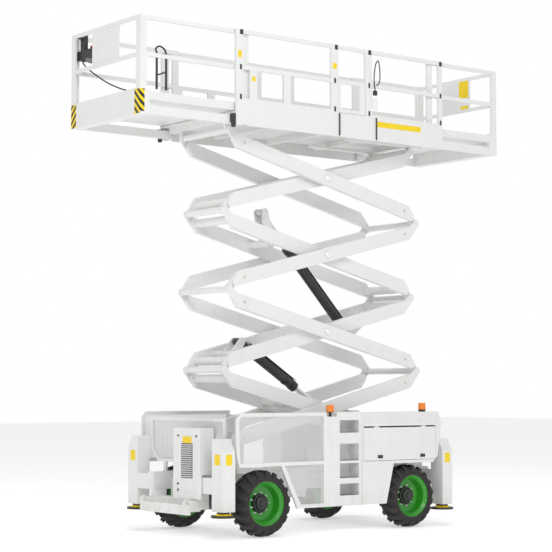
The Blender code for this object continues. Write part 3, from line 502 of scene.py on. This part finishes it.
# ---- operators ------------------------------------------------------------------------------------
class LIFT_OT_finishes(bpy.types.Operator):
    """Makes every finish and gives each frame node its own"""

    bl_idname = "lift.finishes"
    bl_label = "Finishes"

    def execute(self, context):
        c = colours()
        white = tuple(c.white)
        made = {
            "white_paint": white_paint(white),
            "chassis_white": chassis_white(white),
            "deck_plate": deck_plate(white),
            "green_paint": green_paint(tuple(c.green)),
            "black_paint": black_paint(),
            "grey_paint": grey_paint(),
            "tyre_rubber": tyre_rubber(),
            "polished_rod": bright_metal("polished_rod"),
            "silver_paint": bright_metal("silver_paint", (0.5, 0.5, 0.5), 0.4),
            "nut_steel": bright_metal("nut_steel", (0.62, 0.62, 0.60), 0.3),
            "black_plastic": plastic("black_plastic", (0.02, 0.02, 0.02), 0.45),
            "grey_plastic": plastic("grey_plastic", (0.20, 0.20, 0.20), 0.45),
            "yellow_plate": plastic("yellow_plate", tuple(c.yellow), 0.35),
            "red_button": plastic("red_button", tuple(c.red), 0.25),
            "hazard_stripes": hazard(tuple(c.yellow)),
            "cable_jacket": cable_finish(),
            "side_guard": perforated("side_guard", white, side_sheet),
            "front_guard": perforated("front_guard", white, front_sheet),
        }
        special = {
            "near_side_guard": made["side_guard"],
            "far_side_guard": made["side_guard"],
            "front_guard": made["front_guard"],
            "main_deck": made["deck_plate"],
            "front_extension": made["deck_plate"],
            "rear_extension": made["deck_plate"],
            "front_cabinet": made["chassis_white"],
        }
        for label in ("side", "rear"):
            node = f"{label}_beacon"
            special[node] = beacon_finish(tuple(c.orange), float(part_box(node)[1].z) - 0.092)
        chassis = set(frame["record"]["behaviour"]["bodies"]["chassis"])
        for row in frame["record"]["subparts"]:
            name, slot = row["node"], row["material_slot"]
            plain = "chassis_white" if slot == "white_paint" and name in chassis else slot
            mesh = frame["nodes"][name].data
            mesh.materials.clear()
            mesh.materials.append(special.get(name) or made.get(plain) or made["black_paint"])
        return {"FINISHED"}


def tread_lugs(centre, tyre_radius, half_width):
    """Both rows of lugs: lug k is centred on angle 2 pi (k + row/2) / count and its section at s, from
    0 at the middle to 1 at the shoulder, drops with s squared and swings back with s.
    """
    s = sizes()
    count, height = s.lug_count, s.lug_height
    section = np.linspace(0.0, 1.0, 5)
    shapes = []
    for row in (0, 1):
        way = 1.0 if row else -1.0
        angle = 2 * np.pi * (np.arange(count) + row / 2) / count
        top = tyre_radius - 0.002 - 0.060 * section**3
        low = top - height - 0.012
        half_angle = 0.082 - 0.016 * section
        across = way * (0.012 + section * (half_width - 0.014))
        corner_r = np.stack([low, top, top, low], axis=1)
        corner_a = np.stack([-half_angle - 0.012, -half_angle, half_angle, half_angle + 0.012], axis=1)
        swing = 0.16 * section
        a = angle[:, None, None] + swing[None, :, None] + corner_a[None]
        x = centre[0] + corner_r[None] * np.cos(a)
        z = centre[2] + corner_r[None] * np.sin(a)
        y = centre[1] + np.broadcast_to(across[None, :, None], a.shape)
        points = np.stack([x, y, z], axis=-1).reshape(-1, 3)
        one = grid_faces(len(section), 4, False, True)
        ends = np.array([[0, 1, 2, 3], [19, 18, 17, 16]])
        faces = np.vstack([one, ends])
        step = (4 * len(section)) * np.arange(count)
        shapes.append((points, (faces[None] + step[:, None, None]).reshape(-1, 4).tolist()))
    return shapes


class LIFT_OT_tyres(bpy.types.Operator):
    """Builds each tyre with a moulded wall and two rows of chunky lugs"""

    bl_idname = "lift.tyres"
    bl_label = "Tyres"

    def execute(self, context):
        for end in ENDS:
            for label in SIDES:
                self.tyre(f"{end}_{label}")
        return {"FINISHED"}

    def tyre(self, name):
        low, high = low_high(f"{name}_tyre")
        centre, half = (low + high) / 2, (high - low) / 2
        radius, width = half[2], half[1]
        rim = low_high(f"{name}_rim")
        seat = (rim[1][2] - rim[0][2]) / 2 + 0.0005
        carcass = radius - sizes().lug_height
        a = np.linspace(0, np.pi, 15)
        bulge = np.stack([seat + (carcass - seat) * np.sin(a) ** 0.55, width * 0.97 * np.cos(a)], axis=1)
        bulge[:, 0] = np.maximum(bulge[:, 0], seat + 0.001)
        beads = np.array([[seat, -width * 0.80], [seat, width * 0.80]])
        wall = turned_ring(np.vstack([bulge, beads]), centre, (0, 1, 0), 64)
        rings = [
            turned_ring(bead_ring(r, sign * width * 0.955), centre, (0, 1, 0), 64)
            for r in (seat + 0.030, seat + 0.062)
            for sign in (-1, 1)
        ]
        shapes = [wall, *rings, *tread_lugs(centre, radius, width)]
        rubber = finish_named("tyre_rubber")
        made = piece(f"{name}_treaded_tyre", shapes, f"{name}_wheel", rubber)
        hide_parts(f"{name}_tyre")


def bead_ring(radius, y, thick=0.006):
    """A small round section for a raised ring on a wall."""
    a = np.linspace(0, 2 * np.pi, 8, endpoint=False)
    return np.stack([radius + thick * np.cos(a), y + thick * np.sin(a)], axis=1)


class LIFT_OT_hubs(bpy.types.Operator):
    """Adds a black hub and a ring of nuts to each wheel"""

    bl_idname = "lift.hubs"
    bl_label = "Hubs and nuts"

    def execute(self, context):
        for end in ENDS:
            for label, side in SIDES.items():
                self.hub(f"{end}_{label}", side)
        return {"FINISHED"}

    def hub(self, name, side):
        low, high = low_high(f"{name}_rim")
        centre = (low + high) / 2
        outer = high[1] if side > 0 else -low[1]
        disc = outer - 0.17
        axis = np.array([0, side, 0])
        base = np.array([centre[0], side * disc, centre[2]])
        cap = [(0.001, -0.004), (0.124, -0.004), (0.124, 0.034), (0.118, 0.046), (0.100, 0.052),
               (0.094, 0.084), (0.076, 0.094), (0.050, 0.097), (0.046, 0.108), (0.001, 0.110)]
        body = f"{name}_wheel"
        piece(f"{name}_hub_cap", [lathe(cap, base, axis)], body, finish_named("black_paint"))
        count = sizes().nut_count
        turn = 2 * np.pi * np.arange(count) / count
        nut = [(0.001, 0.0), (0.019, 0.0), (0.019, 0.006), (0.014, 0.008), (0.014, 0.026), (0.007, 0.028),
               (0.007, 0.040), (0.001, 0.041)]
        ring = 0.142
        nuts = [
            lathe(nut, base + (ring * math.cos(t), 0, ring * math.sin(t)), axis, 6)
            for t in turn
        ]
        piece(f"{name}_wheel_nuts", nuts, body, finish_named("nut_steel"))


def pin_cap(place, side, radius, depth):
    """A turned cap with a raised middle on the outer face of an arm."""
    profile = [(0.001, 0), (radius, 0), (radius, depth * 0.6), (radius * 0.86, depth), (radius * 0.45, depth),
               (radius * 0.40, depth * 1.5), (0.001, depth * 1.5)]
    return lathe(profile, place, (0, side, 0), 20)


class LIFT_OT_pins(bpy.types.Operator):
    """Adds caps on the pins and small bolts beside them"""

    bl_idname = "lift.pins"
    bl_label = "Pin caps"

    def execute(self, context):
        metal = finish_named("nut_steel")
        white = finish_named("white_paint")
        for stage in range(1, STAGES + 1):
            rising = stage % 2 == 1
            low, high = low_high(f"stage_{stage}_outer_arms")
            face = high[1] - 0.012
            middle = joint(f"stage_{stage}_centre_pin", "pos_m")
            caps = [
                pin_cap((middle[0], s * (face + 0.0125), middle[2]), s, 0.046, 0.010) for s in SIDES.values()
            ]
            slope = math.atan2(high[2] - low[2] - 0.30, high[0] - low[0]) * (1 if rising else -1)
            bolts = []
            for end in (-1, 1):
                along = np.array([math.cos(slope), 0, math.sin(slope)]) * end * 1.50
                for s in SIDES.values():
                    place = middle + along
                    place[1] = s * (face - 0.001)
                    bolts.append(pin_cap(place, s, 0.020, 0.008))
            body = f"outer_{stage}"
            piece(f"stage_{stage}_centre_caps", caps, body, white)
            piece(f"stage_{stage}_pin_bolts", bolts, body, metal)
        return {"FINISHED"}


def hose_along(start, end, offset):
    """Points of a straight hose beside the line from start to end."""
    t = np.linspace(0, 1, 9)[:, None]
    return smooth(start * (1 - t) + end * t + offset, 4)


class LIFT_OT_hoses(bpy.types.Operator):
    """Adds the hoses, ports and rings of both lift cylinders"""

    bl_idname = "lift.hoses"
    bl_label = "Cylinder hoses"

    def execute(self, context):
        radius = sizes().hose_radius
        black = finish_named("black_plastic")
        steel = finish_named("nut_steel")
        for name in ("upper_lift", "lower_lift"):
            pin = joint(f"{name}_barrel_pin", "pos_m")
            way = joint(f"{name}_rod_slide", "axis")
            low, high = low_high(f"{name}_barrel")
            length = np.linalg.norm((high - low)[[0, 2]]) - 0.12
            up = np.array([-way[2], 0, way[0]])
            up = up if up[2] > 0 else -up
            body = f"{name}_barrel"
            near, far = pin + way * 0.16, pin + way * (length - 0.10)
            hoses = [
                tube(hose_along(near, far, up * 0.084 + np.array([0, y, 0])), radius)
                for y in (-0.018, 0.018)
            ]
            piece(f"{name}_hoses", hoses, body, black, shade_smooth=True)
            rings = [
                lathe([(0.001, -0.02), (0.071, -0.02), (0.074, -0.012), (0.074, 0.012), (0.071, 0.02),
                       (0.001, 0.02)], pin + way * at, way, 24)
                for at in (0.22, length - 0.22)
            ]
            piece(f"{name}_rings", rings, body, finish_named("black_paint"))
            places = (pin + way * at + up * 0.076 for at in (0.15, length - 0.08))
            ports = [blocks(place, (0.022, 0.034, 0.022)) for place in places]
            piece(f"{name}_ports", ports, body, steel, bevel=0.004)
        return {"FINISHED"}


def sticker(x, y, z, plane):
    """A thin blank plate let into a face, which it stands out of by FILM.

    x, y and z are (low, high), except that the one named by plane is the face's place and its way out.
    """
    ranges = {"x": x, "y": y, "z": z}
    at, way = ranges[plane]
    ranges[plane] = (at - way * sizes().plate_thickness, at + way * FILM)
    low = [min(ranges[k]) for k in "xyz"]
    high = [max(ranges[k]) for k in "xyz"]
    return span(low, high)


class LIFT_OT_plates(bpy.types.Operator):
    """Adds the blank yellow plates and the hazard bars"""

    bl_idname = "lift.plates"
    bl_label = "Blank plates"

    def execute(self, context):
        yellow = finish_named("yellow_plate")
        rail_y = float(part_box("near_guard_rail")[0].y)
        deck_y = float(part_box("main_deck")[0].y)
        toe = [sticker((0.75, 1.60), (deck_y, -1), (5.655, 5.735), "y")]
        posts = [
            sticker((-1.69, -1.63), (rail_y, -1), (6.36, 6.46), "y"),
            sticker((-1.455, -1.40), (rail_y, -1), (6.06, 6.13), "y"),
            sticker((-0.055, 0.02), (rail_y, -1), (6.40, 6.48), "y"),
        ]
        piece("toe_board_plate", toe, "platform", yellow)
        piece("rail_plates", posts, "platform", yellow)
        self.end_panels(yellow)
        self.column_plates(yellow)
        self.corner_bars()
        return {"FINISHED"}

    def end_panels(self, yellow):
        x = float(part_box("rear_extension")[1].x) - 0.0205
        plates = [
            sticker((x, -1), (-0.275, -0.07), (6.43, 6.70), "x"),
            sticker((x, -1), (-0.27, -0.10), (6.26, 6.31), "x"),
        ]
        piece("rear_panel_plates", plates, "rear_extension", yellow)

    def column_plates(self, yellow):
        plates = []
        for end in ENDS:
            for label, side in SIDES.items():
                low, high = low_high(f"{end}_{label}_jack_column")
                top = high[2] - 0.20
                middle = (low[0] + high[0]) / 2
                face = low[1] if side < 0 else high[1]
                plates.append(sticker((middle - 0.05, middle + 0.05), (face, side), (top - 0.14, top), "y"))
                if end == "front":
                    inner = low[1] + 0.06, high[1] - 0.06
                    plates.append(sticker((low[0], -1), inner, (top - 0.14, top), "x"))
        low, high = low_high("front_cabinet")
        width, height = (low[1] + 0.21, low[1] + 0.42), (high[2] - 0.20, high[2] - 0.11)
        plates.append(sticker((low[0] + 0.012, -1), width, height, "x"))
        piece("column_plates", plates, "chassis", yellow)

    def corner_bars(self):
        low, high = low_high("front_extension")
        bars = []
        for side in SIDES.values():
            edge = side * high[1]
            inner = side * (high[1] - 0.13)
            bars.append(sticker((low[0], -1), (inner, edge), (5.465, 5.783), "x"))
            bars.append(sticker((low[0], low[0] + 0.07), (edge, side), (5.49, 5.783), "y"))
        stripes = finish_named("hazard_stripes")
        piece("corner_hazard_bars", bars, "front_extension", stripes)


class LIFT_OT_rails(bpy.types.Operator):
    """Adds clips, lock handles, hoses and small boxes on the guard rails"""

    bl_idname = "lift.rails"
    bl_label = "Rail fittings"

    def execute(self, context):
        black = finish_named("black_plastic")
        low, high = low_high("near_guard_rail")
        rail_y, top = low[1], high[2]
        deck_y = float(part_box("main_deck")[0].y)
        clips = [
            span((x, rail_y - 0.004, top - 0.07), (x + 0.055, rail_y + 0.044, top - 0.002))
            for x in (-1.66, -0.015, 0.60, 1.972)
        ]
        hinges = [span((x, deck_y - 0.008, z), (x + 0.03, deck_y, z + 0.07))
                  for x in (-1.66, -0.03, 0.60, 1.98) for z in (5.80, 6.20)]
        piece("rail_clips", clips + hinges, "platform", black, bevel=0.004)
        hoses = [
            tube(
                [(x, deck_y - out, z)
                 for out, z in ((0.012, 5.47), (0.014, 5.60), (0.014, 5.72), (0.012, 5.78))],
                0.010,
            )
            for x in (0.06, 0.74)
        ]
        piece("toe_board_hoses", hoses, "platform", black, shade_smooth=True)
        self.slide_pads(black)
        self.lock_handles(black)
        self.rail_boxes(black)
        return {"FINISHED"}

    def slide_pads(self, black):
        """Slide pads that hang at the main deck's front corners and reach under the extension's beams."""
        low, high = low_high("main_deck")
        pads = []
        for side in SIDES.values():
            outer, inner = side * (high[1] - 0.005), side * (high[1] - 0.052)
            pads.append(span((low[0] - 0.07, outer, low[2] + 0.09), (low[0] + 0.001, inner, low[2] + 0.21)))
            pads.append(span((low[0] - 0.05, outer, low[2] + 0.03), (low[0] + 0.001, inner, low[2] + 0.10)))
        piece("deck_slide_pads", pads, "platform", black, bevel=0.008)

    def lock_handles(self, black):
        y = 0.02 - float(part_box("front_extension")[1].y)
        posts = [
            tube([(x, y, 5.80), (x, y, 5.95), (x, y, 6.10), (x, y, 6.27)], 0.016)
            for x in (-2.938, -2.792)
        ]
        grip = smooth([(-2.938, y, 6.27), (-2.94, y + 0.02, 6.33), (-2.88, y + 0.03, 6.37),
                       (-2.81, y + 0.02, 6.34),
                       (-2.792, y, 6.27)], 6)
        link = [(-2.938, y, 5.98), (-2.89, y + 0.004, 6.0), (-2.84, y + 0.004, 6.02), (-2.792, y, 6.04)]
        piece("extension_lock_handles", [*posts, tube(grip, 0.012), tube(link, 0.010)], "front_extension",
              black, shade_smooth=True)

    def rail_boxes(self, black):
        low, _ = low_high("near_guard_rail")
        white = finish_named("white_paint")
        junction = span((0.66, low[1] - 0.05, 5.90), (0.74, low[1] + 0.001, 6.06))
        piece("rail_junction_box", [junction], "platform",
              white, bevel=0.008)
        switch = span((0.68, low[1] - 0.035, 6.10), (0.74, low[1] + 0.001, 6.17))
        piece("rail_switch_box", [switch], "platform",
              black, bevel=0.006)
        out = low[1] - 0.02
        loop = smooth([(0.71, out, 6.16), (0.69, out, 6.35), (0.72, out, 6.54), (0.77, out, 6.60),
                       (0.80, out, 6.45),
                       (0.79, out, 6.30), (0.75, low[1] + 0.004, 6.245)], 6)
        piece("rail_cable_loop", [tube(loop, 0.008)], "platform", black, shade_smooth=True)


class LIFT_OT_controls(bpy.types.Operator):
    """Adds the stop button on its collar, the hook and the domed cover under the control box"""

    bl_idname = "lift.controls"
    bl_label = "Control box"

    def execute(self, context):
        low, high = low_high("control_box")
        body = "front_extension"
        x, y, button_z = high[0] - 0.04, low[1] + 0.10, low[2] + 0.125
        place, up = (x, y + 0.01, button_z), (0, 0, 1)
        collar = [(0.001, 0), (0.040, 0), (0.040, 0.012), (0.026, 0.018), (0.001, 0.018)]
        base = lathe(collar, place, up, 24)
        piece("stop_button_base", [base], body, finish_named("yellow_plate"))
        mushroom = [(0.001, 0.016), (0.014, 0.016), (0.016, 0.032), (0.033, 0.038), (0.035, 0.050),
                    (0.026, 0.060), (0.001, 0.064)]
        head = lathe(mushroom, place, up, 24)
        piece("stop_button", [head], body, finish_named("red_button"), shade_smooth=True)
        a = np.linspace(0.02, np.pi / 2, 8)
        dome = np.stack([0.075 * np.sin(a), -0.060 * np.cos(a)], axis=1)
        dome = np.vstack([dome, [(0.075, 0.002), (0.001, 0.002)]])
        middle = (low[0] + 0.07, low[1] + 0.11, low[2])
        piece("control_box_underside", [lathe(dome, middle, (0, 0, 1), 24)], body,
              finish_named("grey_plastic"), shade_smooth=True)
        hook = [
            span((low[0] - 0.052, low[1] + 0.19, high[2] - 0.005), (high[0] - 0.06, low[1] + 0.27, 6.743))
        ]
        piece("control_box_hook", hook, body, finish_named("black_plastic"), bevel=0.006)
        return {"FINISHED"}


class LIFT_OT_cable(bpy.types.Operator):
    """Hangs the control cable from its box to the socket on the deck"""

    bl_idname = "lift.cable"
    bl_label = "Control cable"

    def execute(self, context):
        box_low, box_high = low_high("control_box")
        socket_low, socket_high = low_high("control_socket")
        diameter = sizes().cable_diameter
        start = np.array([box_high[0] - 0.07, box_high[1] - 0.055, box_low[2]])
        end = (socket_low + socket_high) / 2
        end[2] = socket_high[2]
        down = np.array([0, 0, -1.0])
        t = np.linspace(0.08, 0.94, 7)[:, None]
        sag = 0.055 * np.sin(np.pi * t) * down
        middle = start + 0.05 * down + t * (end - 0.09 * down - start - 0.05 * down) + sag
        leaving = [start, start + 0.015 * down, start + 0.03 * down]
        arriving = [end - 0.04 * down, end - 0.02 * down, end]
        line = smooth(np.vstack([*leaving, middle, *arriving]), 5)
        curve = bpy.data.curves.new("hanging_cable", "CURVE")
        curve.dimensions = "3D"
        curve.bevel_depth = diameter / 2
        curve.bevel_resolution = 3
        curve.use_fill_caps = True
        spline = curve.splines.new("POLY")
        spline.points.add(len(line) - 1)
        spline.points.foreach_set("co", np.hstack([line, np.ones((len(line), 1))]).ravel())
        curve.materials.append(finish_named("cable_jacket"))
        made = bpy.data.objects.new("hanging_cable", curve)
        bpy.context.scene.collection.objects.link(made)
        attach(made, "front_extension")
        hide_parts("control_cable")
        return {"FINISHED"}


class LIFT_OT_chassis(bpy.types.Operator):
    """Adds the grille, latches, step treads, foot domes and hoses of the chassis"""

    bl_idname = "lift.chassis"
    bl_label = "Chassis fittings"

    def execute(self, context):
        self.grille()
        self.latches()
        self.treads()
        self.feet()
        self.front_hoses()
        return {"FINISHED"}

    def grille(self):
        """Fine slats across the middle of the cabinet's recessed panel, with four bolts round them, and a
        black sheet behind the slats as painted shade of the hollow behind them.
        """
        low, high = low_high("front_cabinet")
        count = sizes().slat_count
        panel_x = low[0] + 0.012
        y0, y1 = low[1] + 0.20, low[1] + 0.44
        z = np.linspace(low[2] + 0.29, high[2] - 0.22, count)
        half = ((z[1] - z[0]) * 0.30, (y1 - y0) / 2)
        centres = np.stack([np.full(count, panel_x), np.full(count, (y0 + y1) / 2), z], axis=1)
        piece("grille_slats", [blocks(centres, (0.006, half[1], half[0]))], "chassis",
              finish_named("silver_paint"), bevel=0.002)
        # painted shade: a black sheet between and behind the slats stands in for the shade inside the cabinet
        back = span((panel_x - 0.002, y0 - 0.01, z[0] - 0.02), (panel_x + 0.001, y1 + 0.01, z[-1] + 0.02))
        piece("grille_shade_sheet", [back], "chassis", finish_named("black_paint"))
        knobs = [
            lathe([(0.001, 0), (0.016, 0), (0.014, 0.010), (0.001, 0.010)], (panel_x, y, at), (-1, 0, 0), 16)
            for y, at in ((low[1] + 0.10, low[2] + 0.83), (high[1] - 0.10, low[2] + 0.83),
                          (high[1] - 0.10, low[2] + 0.19), (high[1] - 0.10, low[2] + 0.11))
        ]
        piece("cabinet_bolts", knobs, "chassis", finish_named("black_paint"))

    def latches(self):
        shapes = []
        for label, side in SIDES.items():
            low, high = low_high(f"{label}_housing_door")
            face = high[1] if side > 0 else low[1]
            for x in (low[0] + 0.25, high[0] - 0.30):
                shapes.append(span((x, face, low[2] + 0.03), (x + 0.09, face - side * 0.006, low[2] + 0.075)))
            piece(f"{label}_door_latches", shapes[-2:], f"{label}_housing_door",
                  finish_named("black_plastic"), bevel=0.003)

    def treads(self):
        low, high = low_high("ladder")
        z = np.array([0.50, 0.735, 0.97, 1.35])
        middle = (low[0] + high[0]) / 2
        centres = np.stack([np.full(4, middle), np.full(4, low[1] + 0.09), z + 0.003], axis=1)
        treads = blocks(centres, ((high[0] - low[0]) / 2 - 0.06, 0.085, 0.003))
        piece("step_treads", [treads], "chassis", finish_named("grey_plastic"), bevel=0.002)

    def feet(self):
        for end in ENDS:
            for label in SIDES:
                low, high = low_high(f"{end}_{label}_jack_leg")
                centre = ((low[0] + high[0]) / 2, (low[1] + high[1]) / 2, low[2] + 0.029)
                dome = [(0.061, 0), (0.125, 0), (0.110, 0.012), (0.085, 0.022), (0.061, 0.026)]
                ring = turned_ring(dome, centre, (0, 0, 1), 24)
                piece(f"{end}_{label}_foot_collar", [ring], f"{end}_{label}_jack_leg",
                      finish_named("yellow_plate"), shade_smooth=True)

    def front_hoses(self):
        low, high = low_high("hydraulic_filter")
        top = np.array([(low[0] + high[0]) / 2, (low[1] + high[1]) / 2, high[2] - 0.01])
        hoses = []
        for k in range(4):
            y = top[1] - 0.05 - 0.035 * k
            route = [(top[0] + 0.01 * k, top[1] - 0.02, top[2] - 0.03), (top[0], y, top[2] + 0.05 - 0.02 * k),
                     (top[0] + 0.02, y - 0.04, top[2] - 0.04), (top[0] + 0.02, y - 0.03, low[2] + 0.12),
                     (top[0] + 0.02, y - 0.02, low[2] + 0.005)]
            hoses.append(tube(smooth(route, 6), sizes().hose_radius))
        black = finish_named("black_plastic")
        piece("front_hoses", hoses, "chassis", black, shade_smooth=True)


class LIFT_OT_stage(bpy.types.Operator):
    """Makes the floor, the soft lights and the camera"""

    bl_idname = "lift.stage"
    bl_label = "Stage"

    def execute(self, context):
        self.floor()
        self.world()
        self.light("key", (-7.0, -15.0, 13.0), 9.0, 1250.0)
        self.light("fill", (-17.0, -2.0, 6.0), 8.0, 330.0)
        self.light("top", (1.0, 1.0, 16.0), 8.0, 420.0)
        self.camera()
        context.scene.view_settings.view_transform = "Standard"
        return {"FINISHED"}

    def floor(self):
        half = 60.0
        mesh = bpy.data.meshes.new("floor")
        corners = [(-half, -half, 0), (half, -half, 0), (half, half, 0), (-half, half, 0)]
        mesh.from_pydata(corners, [], [(0, 1, 2, 3)])
        made = bpy.data.objects.new("floor", mesh)
        bpy.context.scene.collection.objects.link(made)
        f = Finish("floor", 0.9)
        f.feed("Base Color", f.mix(f.noise(0.6) * 0.05, (0.90, 0.90, 0.90), (0.86, 0.86, 0.86)))
        f.feed("Emission Color", (1.0, 1.0, 1.0))
        f.feed("Emission Strength", 0.42)
        mesh.materials.append(f.material)
        made.location.z = -0.001

    def world(self):
        world = bpy.data.worlds.new("studio")
        world.use_nodes = True
        tree = world.node_tree
        paths = tree.nodes.new("ShaderNodeLightPath")
        seen = tree.nodes.new("ShaderNodeMath")
        seen.operation = "MAXIMUM"
        tree.links.new(paths.outputs["Is Camera Ray"], seen.inputs[0])
        tree.links.new(paths.outputs["Is Glossy Ray"], seen.inputs[1])
        level = tree.nodes.new("ShaderNodeMapRange")
        level.inputs["To Min"].default_value = 0.46
        level.inputs["To Max"].default_value = 1.0
        tree.links.new(seen.outputs[0], level.inputs["Value"])
        sky = tree.nodes["Background"]
        sky.inputs["Color"].default_value = (1, 1, 1, 1)
        tree.links.new(level.outputs["Result"], sky.inputs["Strength"])
        bpy.context.scene.world = world

    def light(self, name, place, size, power):
        lamp = bpy.data.lights.new(name, "AREA")
        lamp.size = size
        lamp.energy = power
        made = bpy.data.objects.new(name, lamp)
        made.location = place
        aim = np.array([0.0, 0.0, 3.4]) - np.array(place)
        flat = math.hypot(aim[0], aim[1])
        made.rotation_euler = (math.atan2(flat, -aim[2]), 0, math.atan2(-aim[0], aim[1]))
        bpy.context.scene.collection.objects.link(made)

    def camera(self):
        lens = bpy.data.cameras.new("camera")
        lens.lens = 107.13
        made = bpy.data.objects.new("camera", lens)
        made.location = (-14.5065, -18.3637, 1.9826)
        made.rotation_euler = (math.radians(93.8375), 0, math.radians(-37.6252))
        bpy.context.scene.collection.objects.link(made)
        bpy.context.scene.camera = made


OPERATORS = (
    LIFT_OT_finishes,
    LIFT_OT_tyres,
    LIFT_OT_hubs,
    LIFT_OT_pins,
    LIFT_OT_hoses,
    LIFT_OT_plates,
    LIFT_OT_rails,
    LIFT_OT_controls,
    LIFT_OT_cable,
    LIFT_OT_chassis,
    LIFT_OT_stage,
)


class LIFT_PT_panel(bpy.types.Panel):
    """Lists the steps that build the lift's looks"""

    bl_idname = "LIFT_PT_panel"
    bl_label = "Scissor lift"
    bl_space_type = "VIEW_3D"
    bl_region_type = "UI"
    bl_category = "Lift"

    def draw(self, context):
        for group in (context.scene.lift_colours, context.scene.lift_sizes):
            for key in group.__annotations__:
                self.layout.prop(group, key)
        for operator in OPERATORS:
            self.layout.operator(operator.bl_idname)


CLASSES = (LiftColours, LiftSizes, *OPERATORS, LIFT_PT_panel)


def register():
    for cls in CLASSES:
        bpy.utils.register_class(cls)
    bpy.types.Scene.lift_colours = bpy.props.PointerProperty(type=LiftColours)
    bpy.types.Scene.lift_sizes = bpy.props.PointerProperty(type=LiftSizes)


def unregister():
    del bpy.types.Scene.lift_colours
    del bpy.types.Scene.lift_sizes
    for cls in reversed(CLASSES):
        bpy.utils.unregister_class(cls)


def main():
    register()
    for operator in OPERATORS:
        group, name = operator.bl_idname.split(".")
        getattr(getattr(bpy.ops, group), name)()


if __name__ == "__main__":
    main()
